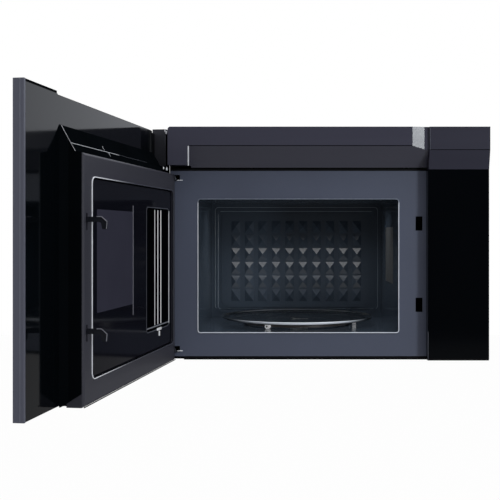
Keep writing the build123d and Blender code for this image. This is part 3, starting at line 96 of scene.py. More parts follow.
class Finish:
    """A material, or the world's sky, that is being put together from nodes."""

    def __init__(self, name, data=None):
        self.data = data or bpy.data.materials.new(name)
        self.data.use_nodes = True
        self.tree = self.data.node_tree
        self.tree.nodes.clear()

    def node(self, kind, settings=None, sockets=None):
        """Add one node; each of its sockets takes a value or another node's output."""
        made = self.tree.nodes.new("ShaderNode" + kind)
        for key, value in (settings or {}).items():
            setattr(made, key, value)
        for key, value in (sockets or {}).items():
            if isinstance(value, Wire):
                self.tree.links.new(value.socket, made.inputs[key])
            else:
                made.inputs[key].default_value = value
        return Outlets(self, made)

    def place(self, scale=(1, 1, 1), turn=(0, 0, 0)):
        """Object coordinates, turned and stretched."""
        where = self.node("TexCoord")["Object"]
        return self.node("Mapping", None, {"Vector": where, "Rotation": turn, "Scale": scale})[0]

    def ramp(self, value, start, end, low=0.0, high=1.0):
        """Low before start, high past end, and smooth in between."""
        return self.node("MapRange", {"interpolation_type": "SMOOTHSTEP"}, {
            "Value": value, "From Min": start, "From Max": end, "To Min": low, "To Max": high})[0]

    def noise(self, scale, stretch=(1, 1, 1), detail=3.0, roughness=0.5):
        return self.node("TexNoise", None, {
            "Vector": self.place(stretch), "Scale": scale, "Detail": detail, "Roughness": roughness})["Fac"]

    def cells(self, scale, randomness=1.0):
        """Voronoi cells, with their Distance and Color."""
        return self.node("TexVoronoi", None, {
            "Vector": self.place(), "Scale": scale, "Randomness": randomness})

    def bands(self, axis, scale, distortion, turn=(0, 0, 0)):
        """Soft parallel bands that follow each other along an axis."""
        return self.node("TexWave", {"bands_direction": axis}, {
            "Vector": self.place(turn=turn), "Scale": scale, "Distortion": distortion})["Fac"]

    def mix(self, amount, first, second):
        return self.node("Mix", {"data_type": "RGBA"}, {0: amount, 6: first, 7: second})[2]

    def bump(self, height, strength, distance):
        return self.node("Bump", None, {"Height": height, "Strength": strength, "Distance": distance})[0]

    def surface(self, **sockets):
        """Close the material with the main surface shader; gives the material back."""
        names = {key.replace("_", " "): value for key, value in sockets.items()}
        body = self.node("BsdfPrincipled", None, names)[0]
        self.node("OutputMaterial", None, {"Surface": body})
        return self.data


def paint(red, green, blue):
    """A colour as it is read off a screen, made linear."""
    steps = (red / 255, green / 255, blue / 255)
    return tuple(c / 12.92 if c < 0.04045 else ((c + 0.055) / 1.055) ** 2.4 for c in steps) + (1,)


# ---------------------------------------------------------------- finishes

GLASS_IOR = 1.5
PLASTIC_IOR = 1.47


def enamel(name, light, dark, rough, peel=0.02, shine=0.5, fleck=0.18):
    """Baked enamel: slow drift of tone, fine orange peel and specks."""
    f = Finish(name)
    drift = f.noise(9.0, detail=2.0)
    specks = f.noise(900.0, detail=1.0) > 0.68
    tone = f.mix(specks * fleck, f.mix(drift, dark, light), paint(110, 112, 120))
    ripple = f.noise(260.0, detail=2.0)
    return f.surface(Base_Color=tone, Roughness=rough + 0.08 * ripple, IOR=GLASS_IOR,
                     Specular_IOR_Level=shine, Normal=f.bump(ripple, peel, 0.002))


def moulded(name, light, dark, rough, grain=700.0, depth=0.05, shine=0.5, painted_glow=0.0):
    """Plastic, print or painted edge with a fine even grain; painted_glow makes it give off light though it
    is no lamp, a painted highlight.
    """
    f = Finish(name)
    drift = f.noise(14.0, detail=2.0)
    pits = f.noise(grain, detail=2.0)
    return f.surface(Base_Color=f.mix(drift, dark, light), Roughness=rough + 0.1 * pits, IOR=PLASTIC_IOR,
                     Specular_IOR_Level=shine, Emission_Color=light, Emission_Strength=painted_glow,
                     Normal=f.bump(pits, depth, 0.001))


def fading(name, first, last, axis, span, rough):
    """A polished edge whose tone changes across a span of one object axis, in metres, as painted light and
    shade.
    """
    f = Finish(name)
    wear = f.noise(90.0, detail=2.0)
    where = f.node("SeparateXYZ", None, {0: f.place()})[axis]
    tone = f.mix(f.ramp(where, *span), first, last)
    return f.surface(Base_Color=f.mix(wear * 0.2, tone, paint(90, 92, 98)), Roughness=rough + 0.1 * wear,
                     IOR=PLASTIC_IOR)


def brushed(name, light, dark, rough, stretch, depth, shine=0.5):
    """Painted sheet with straight brush lines."""
    f = Finish(name)
    lines = f.noise(60.0, stretch, detail=4.0, roughness=0.7)
    drift = f.noise(6.0, detail=2.0)
    return f.surface(Base_Color=f.mix(lines * 0.7 + drift * 0.3, dark, light), Roughness=rough + 0.12 * lines,
                     Specular_IOR_Level=shine, Normal=f.bump(lines, depth, 0.0005))


def plated(name, light, dark, rough):
    """Zinc or nickel plate, slightly mottled."""
    f = Finish(name)
    blotch = f.cells(160.0)["Distance"]
    drift = f.noise(40.0)
    return f.surface(Base_Color=f.mix(blotch * 0.6 + drift * 0.4, dark, light), Metallic=1.0,
                     Roughness=rough + 0.15 * drift)


def spangled(name, light, dark, rough):
    """Hot-dipped steel: flat crystals of different brightness."""
    f = Finish(name)
    shade = f.node("SeparateColor", None, {0: f.cells(95.0)["Color"]})[0]
    drift = f.noise(8.0)
    return f.surface(Base_Color=f.mix(shade * 0.6 + drift * 0.4, dark, light), Metallic=0.9,
                     Roughness=rough + 0.16 * shade, Normal=f.bump(shade, 0.03, 0.0005))


def mirror_black(name, light, dark, ior, rough):
    """Polished dark panel: near-black body under a hard clear face."""
    f = Finish(name)
    drift = f.noise(5.0, detail=2.0)
    haze = f.noise(40.0)
    return f.surface(Base_Color=f.mix(drift, dark, light), Roughness=rough + 0.03 * haze, IOR=ior)


def clear_glass(name, tint, rough):
    """Solid glass that bends the light that passes through it."""
    f = Finish(name)
    ripple = f.noise(70.0, detail=2.0)
    return f.surface(Base_Color=tint, Roughness=rough + 0.04 * ripple, Transmission_Weight=1.0, IOR=GLASS_IOR)


def thin_glass(name, tint, rough):
    """Moulded glass plate: clear when looked through, mirror-like at a low angle."""
    f = Finish(name)
    ripple = f.noise(70.0, detail=2.0)
    glance = f.node("Fresnel", None, {"IOR": GLASS_IOR})[0]
    return f.surface(Base_Color=tint, Roughness=rough + 0.04 * ripple, IOR=GLASS_IOR,
                     Alpha=glance * 0.8 + 0.14)


def lit_edge(name, light, dark, rough):
    """A ground glass edge with a painted highlight: bright where it faces the eye, dark where it turns away.
    """
    f = Finish(name)
    turned = f.node("LayerWeight", None, {"Blend": 0.5})["Facing"]
    frost = f.noise(300.0, detail=2.0)
    return f.surface(Base_Color=f.mix(f.ramp(turned, 0.1, 0.62), light, dark), Roughness=rough + 0.1 * frost,
                     IOR=GLASS_IOR, Normal=f.bump(frost, 0.02, 0.0005))


def holes(name, sheet, gap, pitch, share, rough):
    """Perforated sheet: rows of dark round holes, a pitch (metres) apart."""
    f = Finish(name)
    hole = f.cells(1 / pitch, randomness=0.0)["Distance"] < share
    drift = f.noise(20.0)
    shaded = tuple(0.8 * c for c in sheet[:3]) + (1,)
    return f.surface(Base_Color=f.mix(hole, f.mix(drift, sheet, shaded), gap), Roughness=rough + 0.3 * hole,
                     Normal=f.bump(1.0 - hole, 0.3, 0.001))


def granules(name, light, dark):
    """Loose charcoal grains."""
    f = Finish(name)
    grains = f.cells(420.0)["Distance"]
    return f.surface(Base_Color=f.mix(grains, dark, light), Roughness=0.85 - 0.2 * grains,
                     Normal=f.bump(grains, 0.8, 0.002))


def board(name):
    """Circuit board: solder mask with copper tracks just showing through."""
    f = Finish(name)
    tracks = f.node("TexBrick", None, {
        "Vector": f.place(turn=(0, radians(90), 0)), "Scale": 90.0, "Mortar Size": 0.02,
        "Color1": paint(30, 74, 46), "Color2": paint(36, 84, 52), "Mortar": paint(70, 120, 78)})
    drift = f.noise(30.0)
    return f.surface(Base_Color=f.mix(drift * 0.3, tracks["Color"], paint(20, 50, 34)),
                     Roughness=0.35 + 0.1 * drift, Normal=f.bump(tracks["Fac"], 0.2, 0.0005))


def laminated(name, light, dark):
    """Stacked, varnished core plates."""
    f = Finish(name)
    stack = f.bands("Y", 90.0, 0.2)
    drift = f.noise(50.0)
    return f.surface(Base_Color=f.mix(stack * 0.6 + drift * 0.4, dark, light), Metallic=0.4,
                     Roughness=0.45 + 0.2 * drift, Normal=f.bump(stack, 0.4, 0.0006))


def wire_mesh(name, light, dark):
    """Layers of aluminium mesh laid across each other."""
    f = Finish(name)
    slant = (0, 0, radians(45))
    weave = f.bands("X", 260.0, 0.4, slant) * f.bands("Y", 260.0, 0.4, slant)
    return f.surface(Base_Color=f.mix(weave, dark, light), Metallic=0.9, Roughness=0.3 + 0.3 * (1.0 - weave),
                     Normal=f.bump(weave, 0.6, 0.001))


# ---------------------------------------------------------------- finishes of this oven

LINES_ALONG_X = (0.02, 1, 1)
LINES_ALONG_Z = (1, 1, 0.03)

case_steel = enamel("case_steel", paint(50, 51, 55), paint(40, 41, 44), 0.42, peel=0.05)
pan_steel = enamel("pan_steel", paint(12, 13, 16), paint(6, 7, 9), 0.5, peel=0.05, shine=0.1, fleck=0.02)
frame_enamel = enamel("frame_enamel", paint(79, 85, 103), paint(72, 77, 93), 0.30)
cavity_enamel = enamel("cavity_enamel", paint(61, 71, 83), paint(51, 60, 71), 0.14, peel=0.015)
bead_enamel = enamel("bead_enamel", paint(122, 136, 148), paint(102, 115, 127), 0.16)
white_paint = enamel("white_paint", paint(206, 206, 202), paint(190, 190, 186), 0.35)
# Opening rim: bright as a painted highlight, darker along its top as painted shade.
rim_enamel = fading("rim_enamel", paint(236, 240, 250), paint(122, 130, 146), "Z", (0.076, 0.083), 0.22)
# Window rim: painted light, bright towards the door's free end, dark towards the hinge.
rim_fade = fading("rim_fade", paint(246, 248, 255), paint(66, 67, 78), "Y", (-0.785, -0.60), 0.2)
trim_slate = brushed("trim_slate", paint(62, 62, 75), paint(55, 55, 67), 0.13, LINES_ALONG_X, 0.02)
right_slate = brushed("right_slate", paint(52, 52, 64), paint(46, 46, 57), 0.4, LINES_ALONG_X, 0.02, 0.1)
end_paint = brushed("end_paint", paint(84, 86, 100), paint(74, 76, 89), 0.38, LINES_ALONG_Z, 0.04)
galvanised = spangled("galvanised", paint(186, 189, 194), paint(146, 149, 154), 0.36)
hinge_steel = plated("hinge_steel", paint(72, 74, 80), paint(50, 52, 57), 0.35)
zinc = plated("zinc", paint(190, 193, 198), paint(140, 142, 146), 0.28)
bare_aluminium = plated("bare_aluminium", paint(196, 198, 202), paint(150, 152, 156), 0.3)
motor_plate = plated("motor_plate", paint(140, 142, 146), paint(96, 98, 102), 0.36)
screw_plate = plated("screw_plate", paint(150, 152, 156), paint(110, 112, 115), 0.3)
panel_black = mirror_black("panel_black", paint(4, 6, 9), paint(1, 2, 4), 1.25, 0.06)
glass_front = mirror_black("glass_front", paint(10, 11, 14), paint(5, 6, 8), 1.5, 0.02)
glass_window = mirror_black("glass_window", paint(4, 4, 6), paint(2, 2, 3), 1.5, 0.01)
skin_gloss = mirror_black("skin_gloss", paint(5, 8, 11), paint(2, 4, 6), 1.30, 0.05)
film_black = mirror_black("film_black", paint(17, 17, 25), paint(10, 11, 17), 1.13, 0.08)
frosted = clear_glass("frosted", (0.85, 0.88, 0.9, 1), 0.35)
tray_glass = thin_glass("tray_glass", paint(28, 33, 38), 0.02)
# Tray rim: ground glass, its facing side painted bright as a painted highlight.
ground_glass = lit_edge("ground_glass", paint(236, 242, 252), paint(52, 57, 62), 0.1)
charcoal_grains = granules("charcoal_grains", paint(46, 46, 46), paint(10, 10, 10))
core_plates = laminated("core_plates", paint(96, 84, 76), paint(52, 44, 40))
circuit_board = board("circuit_board")
mesh_metal = wire_mesh("mesh_metal", paint(190, 192, 196), paint(60, 61, 64))
screen_holes = holes("screen_holes", paint(44, 44, 52), paint(6, 6, 8), 0.0022, 0.36, 0.4)

black_plastic = moulded("black_plastic", paint(22, 23, 26), paint(12, 13, 15), 0.45, shine=0.3)
carrier_plastic = moulded("carrier_plastic", paint(18, 19, 22), paint(11, 12, 14), 0.6, shine=0.0)
cap_black = moulded("cap_black", paint(56, 57, 64), paint(46, 47, 53), 0.4, shine=0.2)
choke_grey = moulded("choke_grey", paint(52, 52, 61), paint(46, 46, 54), 0.42, shine=0.3)
filler_black = moulded("filler_black", paint(9, 12, 15), paint(4, 6, 8), 0.6, shine=0.0)
latch_plastic = moulded("latch_plastic", paint(27, 29, 36), paint(18, 20, 26), 0.2, depth=0.02)
mica_sheet = moulded("mica_sheet", paint(80, 83, 85), paint(64, 66, 68), 0.5, grain=160.0, depth=0.15)
nylon = moulded("nylon", paint(206, 203, 194), paint(182, 179, 170), 0.5)
ring_brown = moulded("ring_brown", paint(86, 78, 74), paint(64, 58, 55), 0.35)
# White nylon rollers, given some light of their own as a painted highlight that keeps them bright under the
# tray.
roller_nylon = moulded("roller_nylon", paint(246, 246, 248), paint(228, 228, 230), 0.3, painted_glow=0.22)
rubber = moulded("rubber", paint(20, 20, 20), paint(10, 10, 10), 0.75, grain=300.0, depth=0.2)
screen_view = moulded("screen_view", paint(54, 54, 66), paint(46, 46, 57), 0.6, grain=900.0, depth=0.3,
                      shine=0.0)
shadow_black = moulded("shadow_black", paint(5, 6, 8), paint(2, 2, 4), 0.7, shine=0.0)
# Dark grey outlines round the case's ribs: painted shade of their edges.
groove_grey = moulded("groove_grey", paint(32, 33, 37), paint(24, 25, 28), 0.6, shine=0.1)
# Mid grey for thin painted highlight lines.
seam_grey = moulded("seam_grey", paint(84, 87, 97), paint(70, 73, 82), 0.4)
# Blue grey for the painted highlight along the end trim's inner corner.
end_light = moulded("end_light", paint(112, 115, 128), paint(96, 99, 112), 0.35)
# Light grey for painted highlights on the screen's edges and the hooks' noses.
rim_dim = moulded("rim_dim", paint(134, 135, 144), paint(112, 113, 122), 0.3)
# Light grey for painted highlights on lit edges, creases and the hinge cap's corner.
bright_grey = moulded("bright_grey", paint(206, 208, 214), paint(180, 182, 188), 0.25)
# Near white for the seal ribs' painted highlights.
rib_chrome = moulded("rib_chrome", paint(252, 252, 255), paint(236, 237, 241), 0.2)
# Near white for the painted glints of hinge pins and rivets.
pin_steel = moulded("pin_steel", paint(248, 250, 255), paint(226, 229, 236), 0.2)
print_white = moulded("print_white", paint(196, 198, 202), paint(176, 178, 182), 0.5)

FINISHES = {
    "outer_case": case_steel, "rear_panel": galvanised, "base_pan": pan_steel, "front_frame": frame_enamel,
    "oven_cavity": cavity_enamel, "top_trim": trim_slate, "trim_right_end": right_slate,
    "control_housing": panel_black, "air_shelf": pan_steel, "charcoal_filter": charcoal_grains,
    "hinge_brackets": hinge_steel, "waveguide": zinc, "waveguide_cover": mica_sheet,
    "magnetron": bare_aluminium, "high_voltage_transformer": core_plates,
    "high_voltage_capacitor": bare_aluminium, "high_voltage_diode": black_plastic,
    "interlock_bracket": shadow_black, "interlock_switches": black_plastic,
    "power_board": circuit_board, "noise_filter": circuit_board, "cord_bushing": rubber,
    "thermal_cutouts": black_plastic, "oven_lamp": white_paint, "cooling_fan_motor": motor_plate,
    "cooling_fan_shroud": black_plastic, "cooling_fan_blade": black_plastic, "blower_motor": motor_plate,
    "blower_wheels": bare_aluminium, "blower_housings": zinc, "exhaust_collar": zinc, "exhaust_damper": zinc,
    "lamp_lens": frosted, "cooktop_lamp": white_paint, "grease_filter_left": mesh_metal,
    "grease_filter_right": mesh_metal, "turntable_motor": motor_plate, "turntable_coupler": nylon,
    "turntable_tray": tray_glass, "roller_ring": ring_brown, "roller_1": roller_nylon,
    "roller_2": roller_nylon, "roller_3": roller_nylon, "door_glass": glass_front,
    "door_carrier": carrier_plastic, "door_back_skin": skin_gloss, "door_end_trim": end_paint,
    "door_hinge_cap": cap_black, "touch_board": circuit_board, "choke_cover": choke_grey,
    "door_frame": filler_black, "window_film": film_black, "window_screen": screen_holes,
    "door_top_filler": filler_black, "door_side_cover": filler_black, "door_hinge_plates": hinge_steel,
    "door_screws": screw_plate, "latch_lever": latch_plastic, "latch_spring": screw_plate,
    "case_screws": screw_plate,
}
for name, finish in FINISHES.items():
    mesh = nodes[name].data
    mesh.materials.clear()
    mesh.materials.append(finish)


# ---------------------------------------------------------------- shaping (lengths in millimetres)

def spans(name):
    """The X, Y and Z limits of a node; a door piece is measured with the door shut."""
    bodies = frame["record"]["behaviour"]["bodies"]
    shut = SWING.inverted() if name in bodies["door"] + bodies["latch"] else Matrix.Identity(4)
    points = [shut @ v.co / MM for v in nodes[name].data.vertices]
    return [(min(p[i] for p in points), max(p[i] for p in points)) for i in range(3)]


def grown(span, by):
    """A span made longer at both ends, or shorter where the length is negative."""
    return span[0] - by, span[1] + by


def about(middle, reach):
    """The span that reaches equally far to both sides of a value."""
    return middle - reach, middle + reach


def block(form, xs, ys, zs):
    """A box between two X, two Y and two Z values."""
    size = Matrix.Diagonal((xs[1] - xs[0], ys[1] - ys[0], zs[1] - zs[0], 1 / MM)) * MM
    middle = Vector((sum(xs), sum(ys), sum(zs))) * MM / 2
    bmesh.ops.create_cube(form, size=1, matrix=Matrix.Translation(middle) @ size)


def rod(form, start, end, radius, sides=12):
    """A straight round bar between two points."""
    start, end = Vector(start) * MM, Vector(end) * MM
    turn = (end - start).to_track_quat("Z", "Y").to_matrix().to_4x4()
    bmesh.ops.create_cone(form, cap_ends=True, segments=sides, radius1=radius * MM, radius2=radius * MM,
                          depth=(end - start).length, matrix=Matrix.Translation((start + end) / 2) @ turn)


def rounded_sheet(form, us, vs, corner, depth, level=False):
    """A flat rounded rectangle, upright at a Y or level at a Z; gives back its faces."""
    size = Matrix.Diagonal((us[1] - us[0], vs[1] - vs[0], 1, 1 / MM)) * MM
    if level:
        place = Matrix.Translation(Vector((sum(us) / 2, sum(vs) / 2, depth)) * MM) @ size
    else:
        place = Matrix.Translation(Vector((sum(us) / 2, depth, sum(vs) / 2)) * MM)
        place = place @ Matrix.Rotation(radians(90), 4, "X") @ size
    corners = bmesh.ops.create_grid(form, x_segments=1, y_segments=1, size=0.5, matrix=place)["verts"]
    rounded = bmesh.ops.bevel(form, geom=corners, offset=corner * MM, segments=5, profile=0.5,
                              affect="VERTICES", material=-1, clamp_overlap=True)["verts"]
    return list({f for v in rounded for f in v.link_faces})


def thicken(form, faces, depth, level=False):
    """Pull flat faces along Y, or Z where they are level, into closed plates."""
    pulled = bmesh.ops.extrude_face_region(form, geom=faces, use_keep_orig=True)["geom"]
    points = [g for g in pulled if isinstance(g, bmesh.types.BMVert)]
    bmesh.ops.translate(form, verts=points, vec=(0, 0, depth * MM) if level else (0, depth * MM, 0))


def plate(form, us, vs, corner, span):
    """An upright plate with rounded corners between two depths."""
    thicken(form, rounded_sheet(form, us, vs, corner, span[0]), span[1] - span[0])


def ring(form, us, vs, corner, width, span, level=False):
    """A rounded rectangular ring between two depths."""
    faces = rounded_sheet(form, us, vs, corner, span[0], level)
    border = bmesh.ops.inset_region(form, faces=faces, thickness=width * MM, use_even_offset=True,
                                    use_boundary=True)["faces"]
    bmesh.ops.delete(form, geom=faces, context="FACES")
    thicken(form, border, span[1] - span[0], level)


def capsule(form, start, end, radius, out, rise):
    """A low round-ended rib between two points on a sheet, standing out of it by rise."""
    start, end, out = Vector(start) * MM, Vector(end) * MM, Vector(out)
    along = (end - start).normalized()
    turn = Matrix((along, out.cross(along), out)).transposed().to_4x4()
    squash = Matrix.Diagonal((1, 1, rise / radius, 1))
    ball = bmesh.ops.create_uvsphere(form, u_segments=16, v_segments=8, radius=radius * MM,
                                     matrix=Matrix.Translation(start) @ turn @ squash)["verts"]
    far = [v for v in ball if (v.co - start).dot(along) > 1e-7]
    bmesh.ops.translate(form, verts=far, vec=end - start)


def lathe(form, centre, profile):
    """A ring-shaped body turned about an upright axis from (radius, height) pairs."""
    axis = Vector(centre) * MM
    points = [form.verts.new(axis + Vector((radius, 0, height)) * MM) for radius, height in profile]
    edges = [form.edges.new(pair) for pair in zip(points, points[1:] + points[:1])]
    bmesh.ops.spin(form, geom=points + edges, cent=axis, axis=(0, 0, 1), angle=2 * pi, steps=96,
                   use_merge=True)


def lettering(text, size, centre, y):
    """Flat upright figures round an (X, Z) centre; gives back a mesh."""
    curve = bpy.data.curves.new("figure", "FONT")
    curve.body = text
    curve.size = size * MM
    curve.extrude = 0.06 * MM
    curve.align_x = "CENTER"
    curve.align_y = "CENTER"
    holder = bpy.data.objects.new("figure", curve)
    mesh = bpy.data.meshes.new_from_object(holder)
    bpy.data.objects.remove(holder)
    upright = Matrix.Rotation(radians(90), 4, "X")
    mesh.transform(Matrix.Translation(Vector((centre[0], y, centre[1])) * MM) @ upright)
    return mesh


def piece(name, form, finish, body, edge=0.0, segments=2, smooth=35, replaces=()):
    """Round the sharp edges, close the form up, swing it open if it is on the door, and fix it to a body."""
    bmesh.ops.remove_doubles(form, verts=form.verts, dist=1e-6)
    if edge:
        sharp = [e for e in form.edges if len(e.link_faces) == 2 and e.calc_face_angle() > radians(40)]
        bmesh.ops.bevel(form, geom=sharp, offset=edge * MM, segments=segments, profile=0.5, affect="EDGES",
                        material=-1, clamp_overlap=True)
    bmesh.ops.recalc_face_normals(form, faces=form.faces)
    if body in ("door", "latch"):
        bmesh.ops.transform(form, matrix=SWING, verts=form.verts)
    mesh = bpy.data.meshes.new(name)
    form.to_mesh(mesh)
    form.free()
    if smooth:
        mesh.shade_smooth()
        mesh.set_sharp_from_angle(angle=radians(smooth))
    mesh.materials.append(finish)
    made = bpy.data.objects.new(name, mesh)
    bpy.context.scene.collection.objects.link(made)
    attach(made, body)
    if replaces:
        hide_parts(*replaces)


# ---------------------------------------------------------------- case

OPENING_XS = (-248.6, 134.7)
OPENING_ZS = (-168.9, 85.7)
FRAME_FACE = -345.0
BACK_WALL = -25.0
TRIM_FACE = spans("top_trim")[1][0]
TRIM_TOP = spans("top_trim")[2][1]
TRIM_FOLD = TRIM_TOP - 35.7
RIGHT_FOLD = TRIM_TOP - 43.2


def opening_rim():
    """The rolled edge round the oven's opening, painted bright as a painted highlight and darker along its
    top as painted shade.
    """
    overlap, corner, width = 1.2, 5.4, 1.4
    form = bmesh.new()
    ring(form, grown(OPENING_XS, overlap), grown(OPENING_ZS, overlap), corner, width,
         (FRAME_FACE - 1.3, FRAME_FACE - 0.4))
    piece("opening_rim", form, rim_enamel, "case", edge=0.3)


def cavity_beads():
    """The two pressed beads round the oven's back wall."""
    foot, corner, width = -152.0, 8.0, 1.3
    form = bmesh.new()
    for xs, top in (((-241.5, 128.5), 79.5), ((-235.0, 122.0), 70.5)):
        ring(form, xs, (foot, top), corner, width, (BACK_WALL - 1.4, BACK_WALL - 0.2))
    piece("cavity_beads", form, bead_enamel, "case", edge=0.4)


def case_ribs():
    """Shallow pressed ribs of the case's sides, top and back, dark outlines of painted shade round them, and
    the sheets' seams.
    """
    xs, ys, zs = spans("outer_case")
    back = spans("rear_panel")[1][1]
    front_end, back_end = ys[0] + 60, ys[1] - 40
    rib_radius, rib_rise = 4.8, 0.1
    shade_radius, shade_rise = 5.6, 0.05
    sideways, backward, upward = (1, 0, 0), (0, 1, 0), (0, 0, 1)
    side_heights = (-150.0, -60.0, 30.0, 120.0)

    def lengthwise(places):
        """Ribs from the front to the back of the case at (X, Z) places."""
        return [((x, front_end, z), (x, back_end, z)) for x, z in places]

    ribs = {
        "side_ribs_left": (case_steel, sideways, lengthwise((xs[0], z) for z in side_heights)),
        "side_ribs_right": (case_steel, sideways, lengthwise((xs[1], z) for z in side_heights)),
        "top_ribs": (case_steel, upward, lengthwise((x, zs[1]) for x in (-250.0, -195.0, 195.0, 250.0))),
        "rear_ribs": (galvanised, backward, [
            ((-120.0, back, z), (130.0, back, z)) for z in (-60.0, 0.0, 60.0, 120.0)]),
        "rear_edge_ribs": (galvanised, backward, [
            ((x, back, -190.0), (x, back, 190.0)) for x in (-265.0, 265.0)]),
    }
    # Flat dark outlines round each rib, painted shade of its edges.
    shade_outlines = bmesh.new()
    for name, (finish, out, lines) in ribs.items():
        form = bmesh.new()
        for start, end in lines:
            capsule(shade_outlines, start, end, shade_radius, out, shade_rise)
            capsule(form, start, end, rib_radius, out, rib_rise)
        piece(name, form, finish, "case", smooth=60)
    piece("rib_grooves", shade_outlines, groove_grey, "case", smooth=60)
    form = bmesh.new()
    seam_radius, seam_sides, sunk = 0.3, 8, 0.2
    rear, top = ys[1] - sunk, zs[1] - sunk
    for x in grown(xs, -0.9):
        rod(form, (x, ys[0] + 2, top), (x, ys[1] - 1, top), seam_radius, seam_sides)
        rod(form, (x, rear, zs[0] + 3), (x, rear, zs[1] - 1), seam_radius, seam_sides)
    piece("sheet_seams", form, shadow_black, "case")


def trim_lines():
    """Painted shadow gaps under the trim's folds, its recess end painted bright as its lit side, and painted
    highlight lines beside the facet and along the panel's left edge.
    """
    gap_depths = (TRIM_FACE - 0.35, TRIM_FACE + 0.4)
    form = bmesh.new()
    block(form, (-263.0, 156.5), gap_depths, about(TRIM_FOLD, 0.6))
    block(form, (190.0, 302.2), gap_depths, about(RIGHT_FOLD, 0.5))
    piece("trim_fold_gaps", form, shadow_black, "case", edge=0.2)
    form = bmesh.new()
    # The recess end is a painted highlight: its side that faces the light.
    block(form, (-265.4, -262.9), (TRIM_FACE - 0.6, TRIM_FACE + 0.8), (147.4, TRIM_FOLD - 0.7))
    piece("trim_recess_end", form, bright_grey, "case", edge=0.6, segments=3)
    # Painted highlight lines beside the facet and on the panel's left edge.
    form = bmesh.new()
    block(form, (189.4, 190.4), about(TRIM_FACE, 0.4), (RIGHT_FOLD, TRIM_TOP - 0.5))
    (left, _), (front, _), (foot, _) = spans("control_housing")
    block(form, (left - 0.2, left + 0.7), (front - 0.3, front + 0.5), (foot + 1, foot + 55))
    piece("panel_seam_lines", form, seam_grey, "case", edge=0.3)


def hinge_pins():
    """Pins that show in the hinge notches at the frame's left edge, painted near white as painted glints."""
    left, right, rise, depth, radius = -299.0, -278.0, 0.6, FRAME_FACE - 1.0, 0.7
    form = bmesh.new()
    for z in (121.7, -204.7):
        rod(form, (left, depth, z), (right, depth, z + rise), radius)
    piece("hinge_pins", form, pin_steel, "case", edge=0.25)


# ---------------------------------------------------------------- door (placed as if it were shut)

CHOKE_XS, (_, CHOKE_FACE), CHOKE_ZS = spans("choke_cover")
FILM_FACE = spans("window_film")[1][1]
GLASS_FACE = spans("door_glass")[1][0]
FILLER_END = spans("door_top_filler")[0][1]
CREASE_Y, CREASE_Z = -366.2, 146.8


def window_rim():
    """The raised bead round the door's inner window, painted bright towards the door's free end and dark
    towards the hinge as painted light, and the painted shadow of the gap inside it.
    """
    xs, zs, corner = (-273.6, 154.6), (-186.9, 102.4), 11.4
    bead, gap = 1.6, 1.8
    form = bmesh.new()
    ring(form, xs, zs, corner, bead, (CHOKE_FACE - 1.0, CHOKE_FACE + 0.45))
    piece("window_rim", form, rim_fade, "door", edge=0.4, segments=3)
    form = bmesh.new()
    ring(form, grown(xs, -bead), grown(zs, -bead), corner - bead, gap, about(CHOKE_FACE, 0.3))
    piece("window_gap", form, shadow_black, "door", edge=0.1)


def window_layers():
    """What shows through the door's inner film: the screen, painted shadow in its hole, the edge of the hole
    and the screen's edges as painted highlight lines, and the seal's ribs painted near white as painted
    highlights.
    """
    hole_xs = (-248.0, -112.0)
    rib_top, rib_foot, rib_corner = 62.0, -141.0, 0.7
    sheet_rise, edge_rise, rib_rise, foot_rise = 0.15, 0.6, 1.0, 1.3

    def proud(rise):
        """The depths of a layer that stands out of the film."""
        return FILM_FACE, FILM_FACE + rise

    form = bmesh.new()
    plate(form, (-37.0, 129.0), (-94.0, 56.0), 3.0, proud(sheet_rise))
    piece("window_view", form, screen_view, "door")
    form = bmesh.new()
    plate(form, hole_xs, (-149.0, 65.0), 7.0, proud(sheet_rise))
    piece("window_shade", form, shadow_black, "door")
    # The hole's edge in grey as a painted highlight line.
    form = bmesh.new()
    ring(form, grown(hole_xs, 1.5), (-151.0, 66.5), 8.0, 1.3, proud(edge_rise))
    piece("window_hole_edge", form, seam_grey, "door", edge=0.25)
    # Light grey lines on the screen's edges: painted highlights.
    form = bmesh.new()
    plate(form, (-38.5, -36.5), (-112.0, 66.0), 0.9, proud(edge_rise))
    plate(form, hole_xs, (-144.6, -142.4), 0.9, proud(edge_rise))
    piece("window_screen_edge", form, rim_dim, "door", edge=0.25)
    # The seal's ribs and their foot, painted near white as painted highlights.
    form = bmesh.new()
    for x, width in ((-197.0, 3.0), (-178.0, 3.0), (-159.0, 1.6)):
        plate(form, about(x, width / 2), (rib_foot, rib_top), rib_corner, proud(rib_rise))
    plate(form, (-250.2, -248.2), (-146.0, rib_top), rib_corner, proud(rib_rise))
    plate(form, (-200.0, -172.0), (-152.5, -148.0), 2.0, proud(foot_rise))
    plate(form, (-190.0, -184.0), (-163.0, -153.5), 2.4, proud(foot_rise))
    piece("window_seal_ribs", form, rib_chrome, "door", edge=0.3)


def filler_creases():
    """Painted highlights along the creases of the filler's folds and along the end trim."""
    crease = (CREASE_Y, CREASE_Z)
    side = FILLER_END - 0.3
    form = bmesh.new()
    for start, end, radius in (
            ((-20.0, *crease), (FILLER_END - 0.5, *crease), 0.5),
            ((46.0, *crease), (46.0, -370.6, 155.0), 0.45),
            ((30.0, *crease), (30.0, -362.0, 138.5), 0.45),
            ((side, -379.4, 171.0), (side, *crease), 0.5),
            ((side, *crease), (side, -359.4, 135.4), 0.5)):
        rod(form, start, end, radius)
    piece("filler_creases", form, bright_grey, "door")
    form = bmesh.new()
    rod(form, (-170.0, *crease), (-20.5, *crease), 0.3)
    piece("filler_crease_end", form, seam_grey, "door")
    form = bmesh.new()
    (_, right), _, (foot, top) = spans("door_end_trim")
    rod(form, (right - 0.1, -385.6, foot + 1), (right - 0.1, -385.6, top - 1), 0.4)
    piece("end_trim_line", form, end_light, "door")


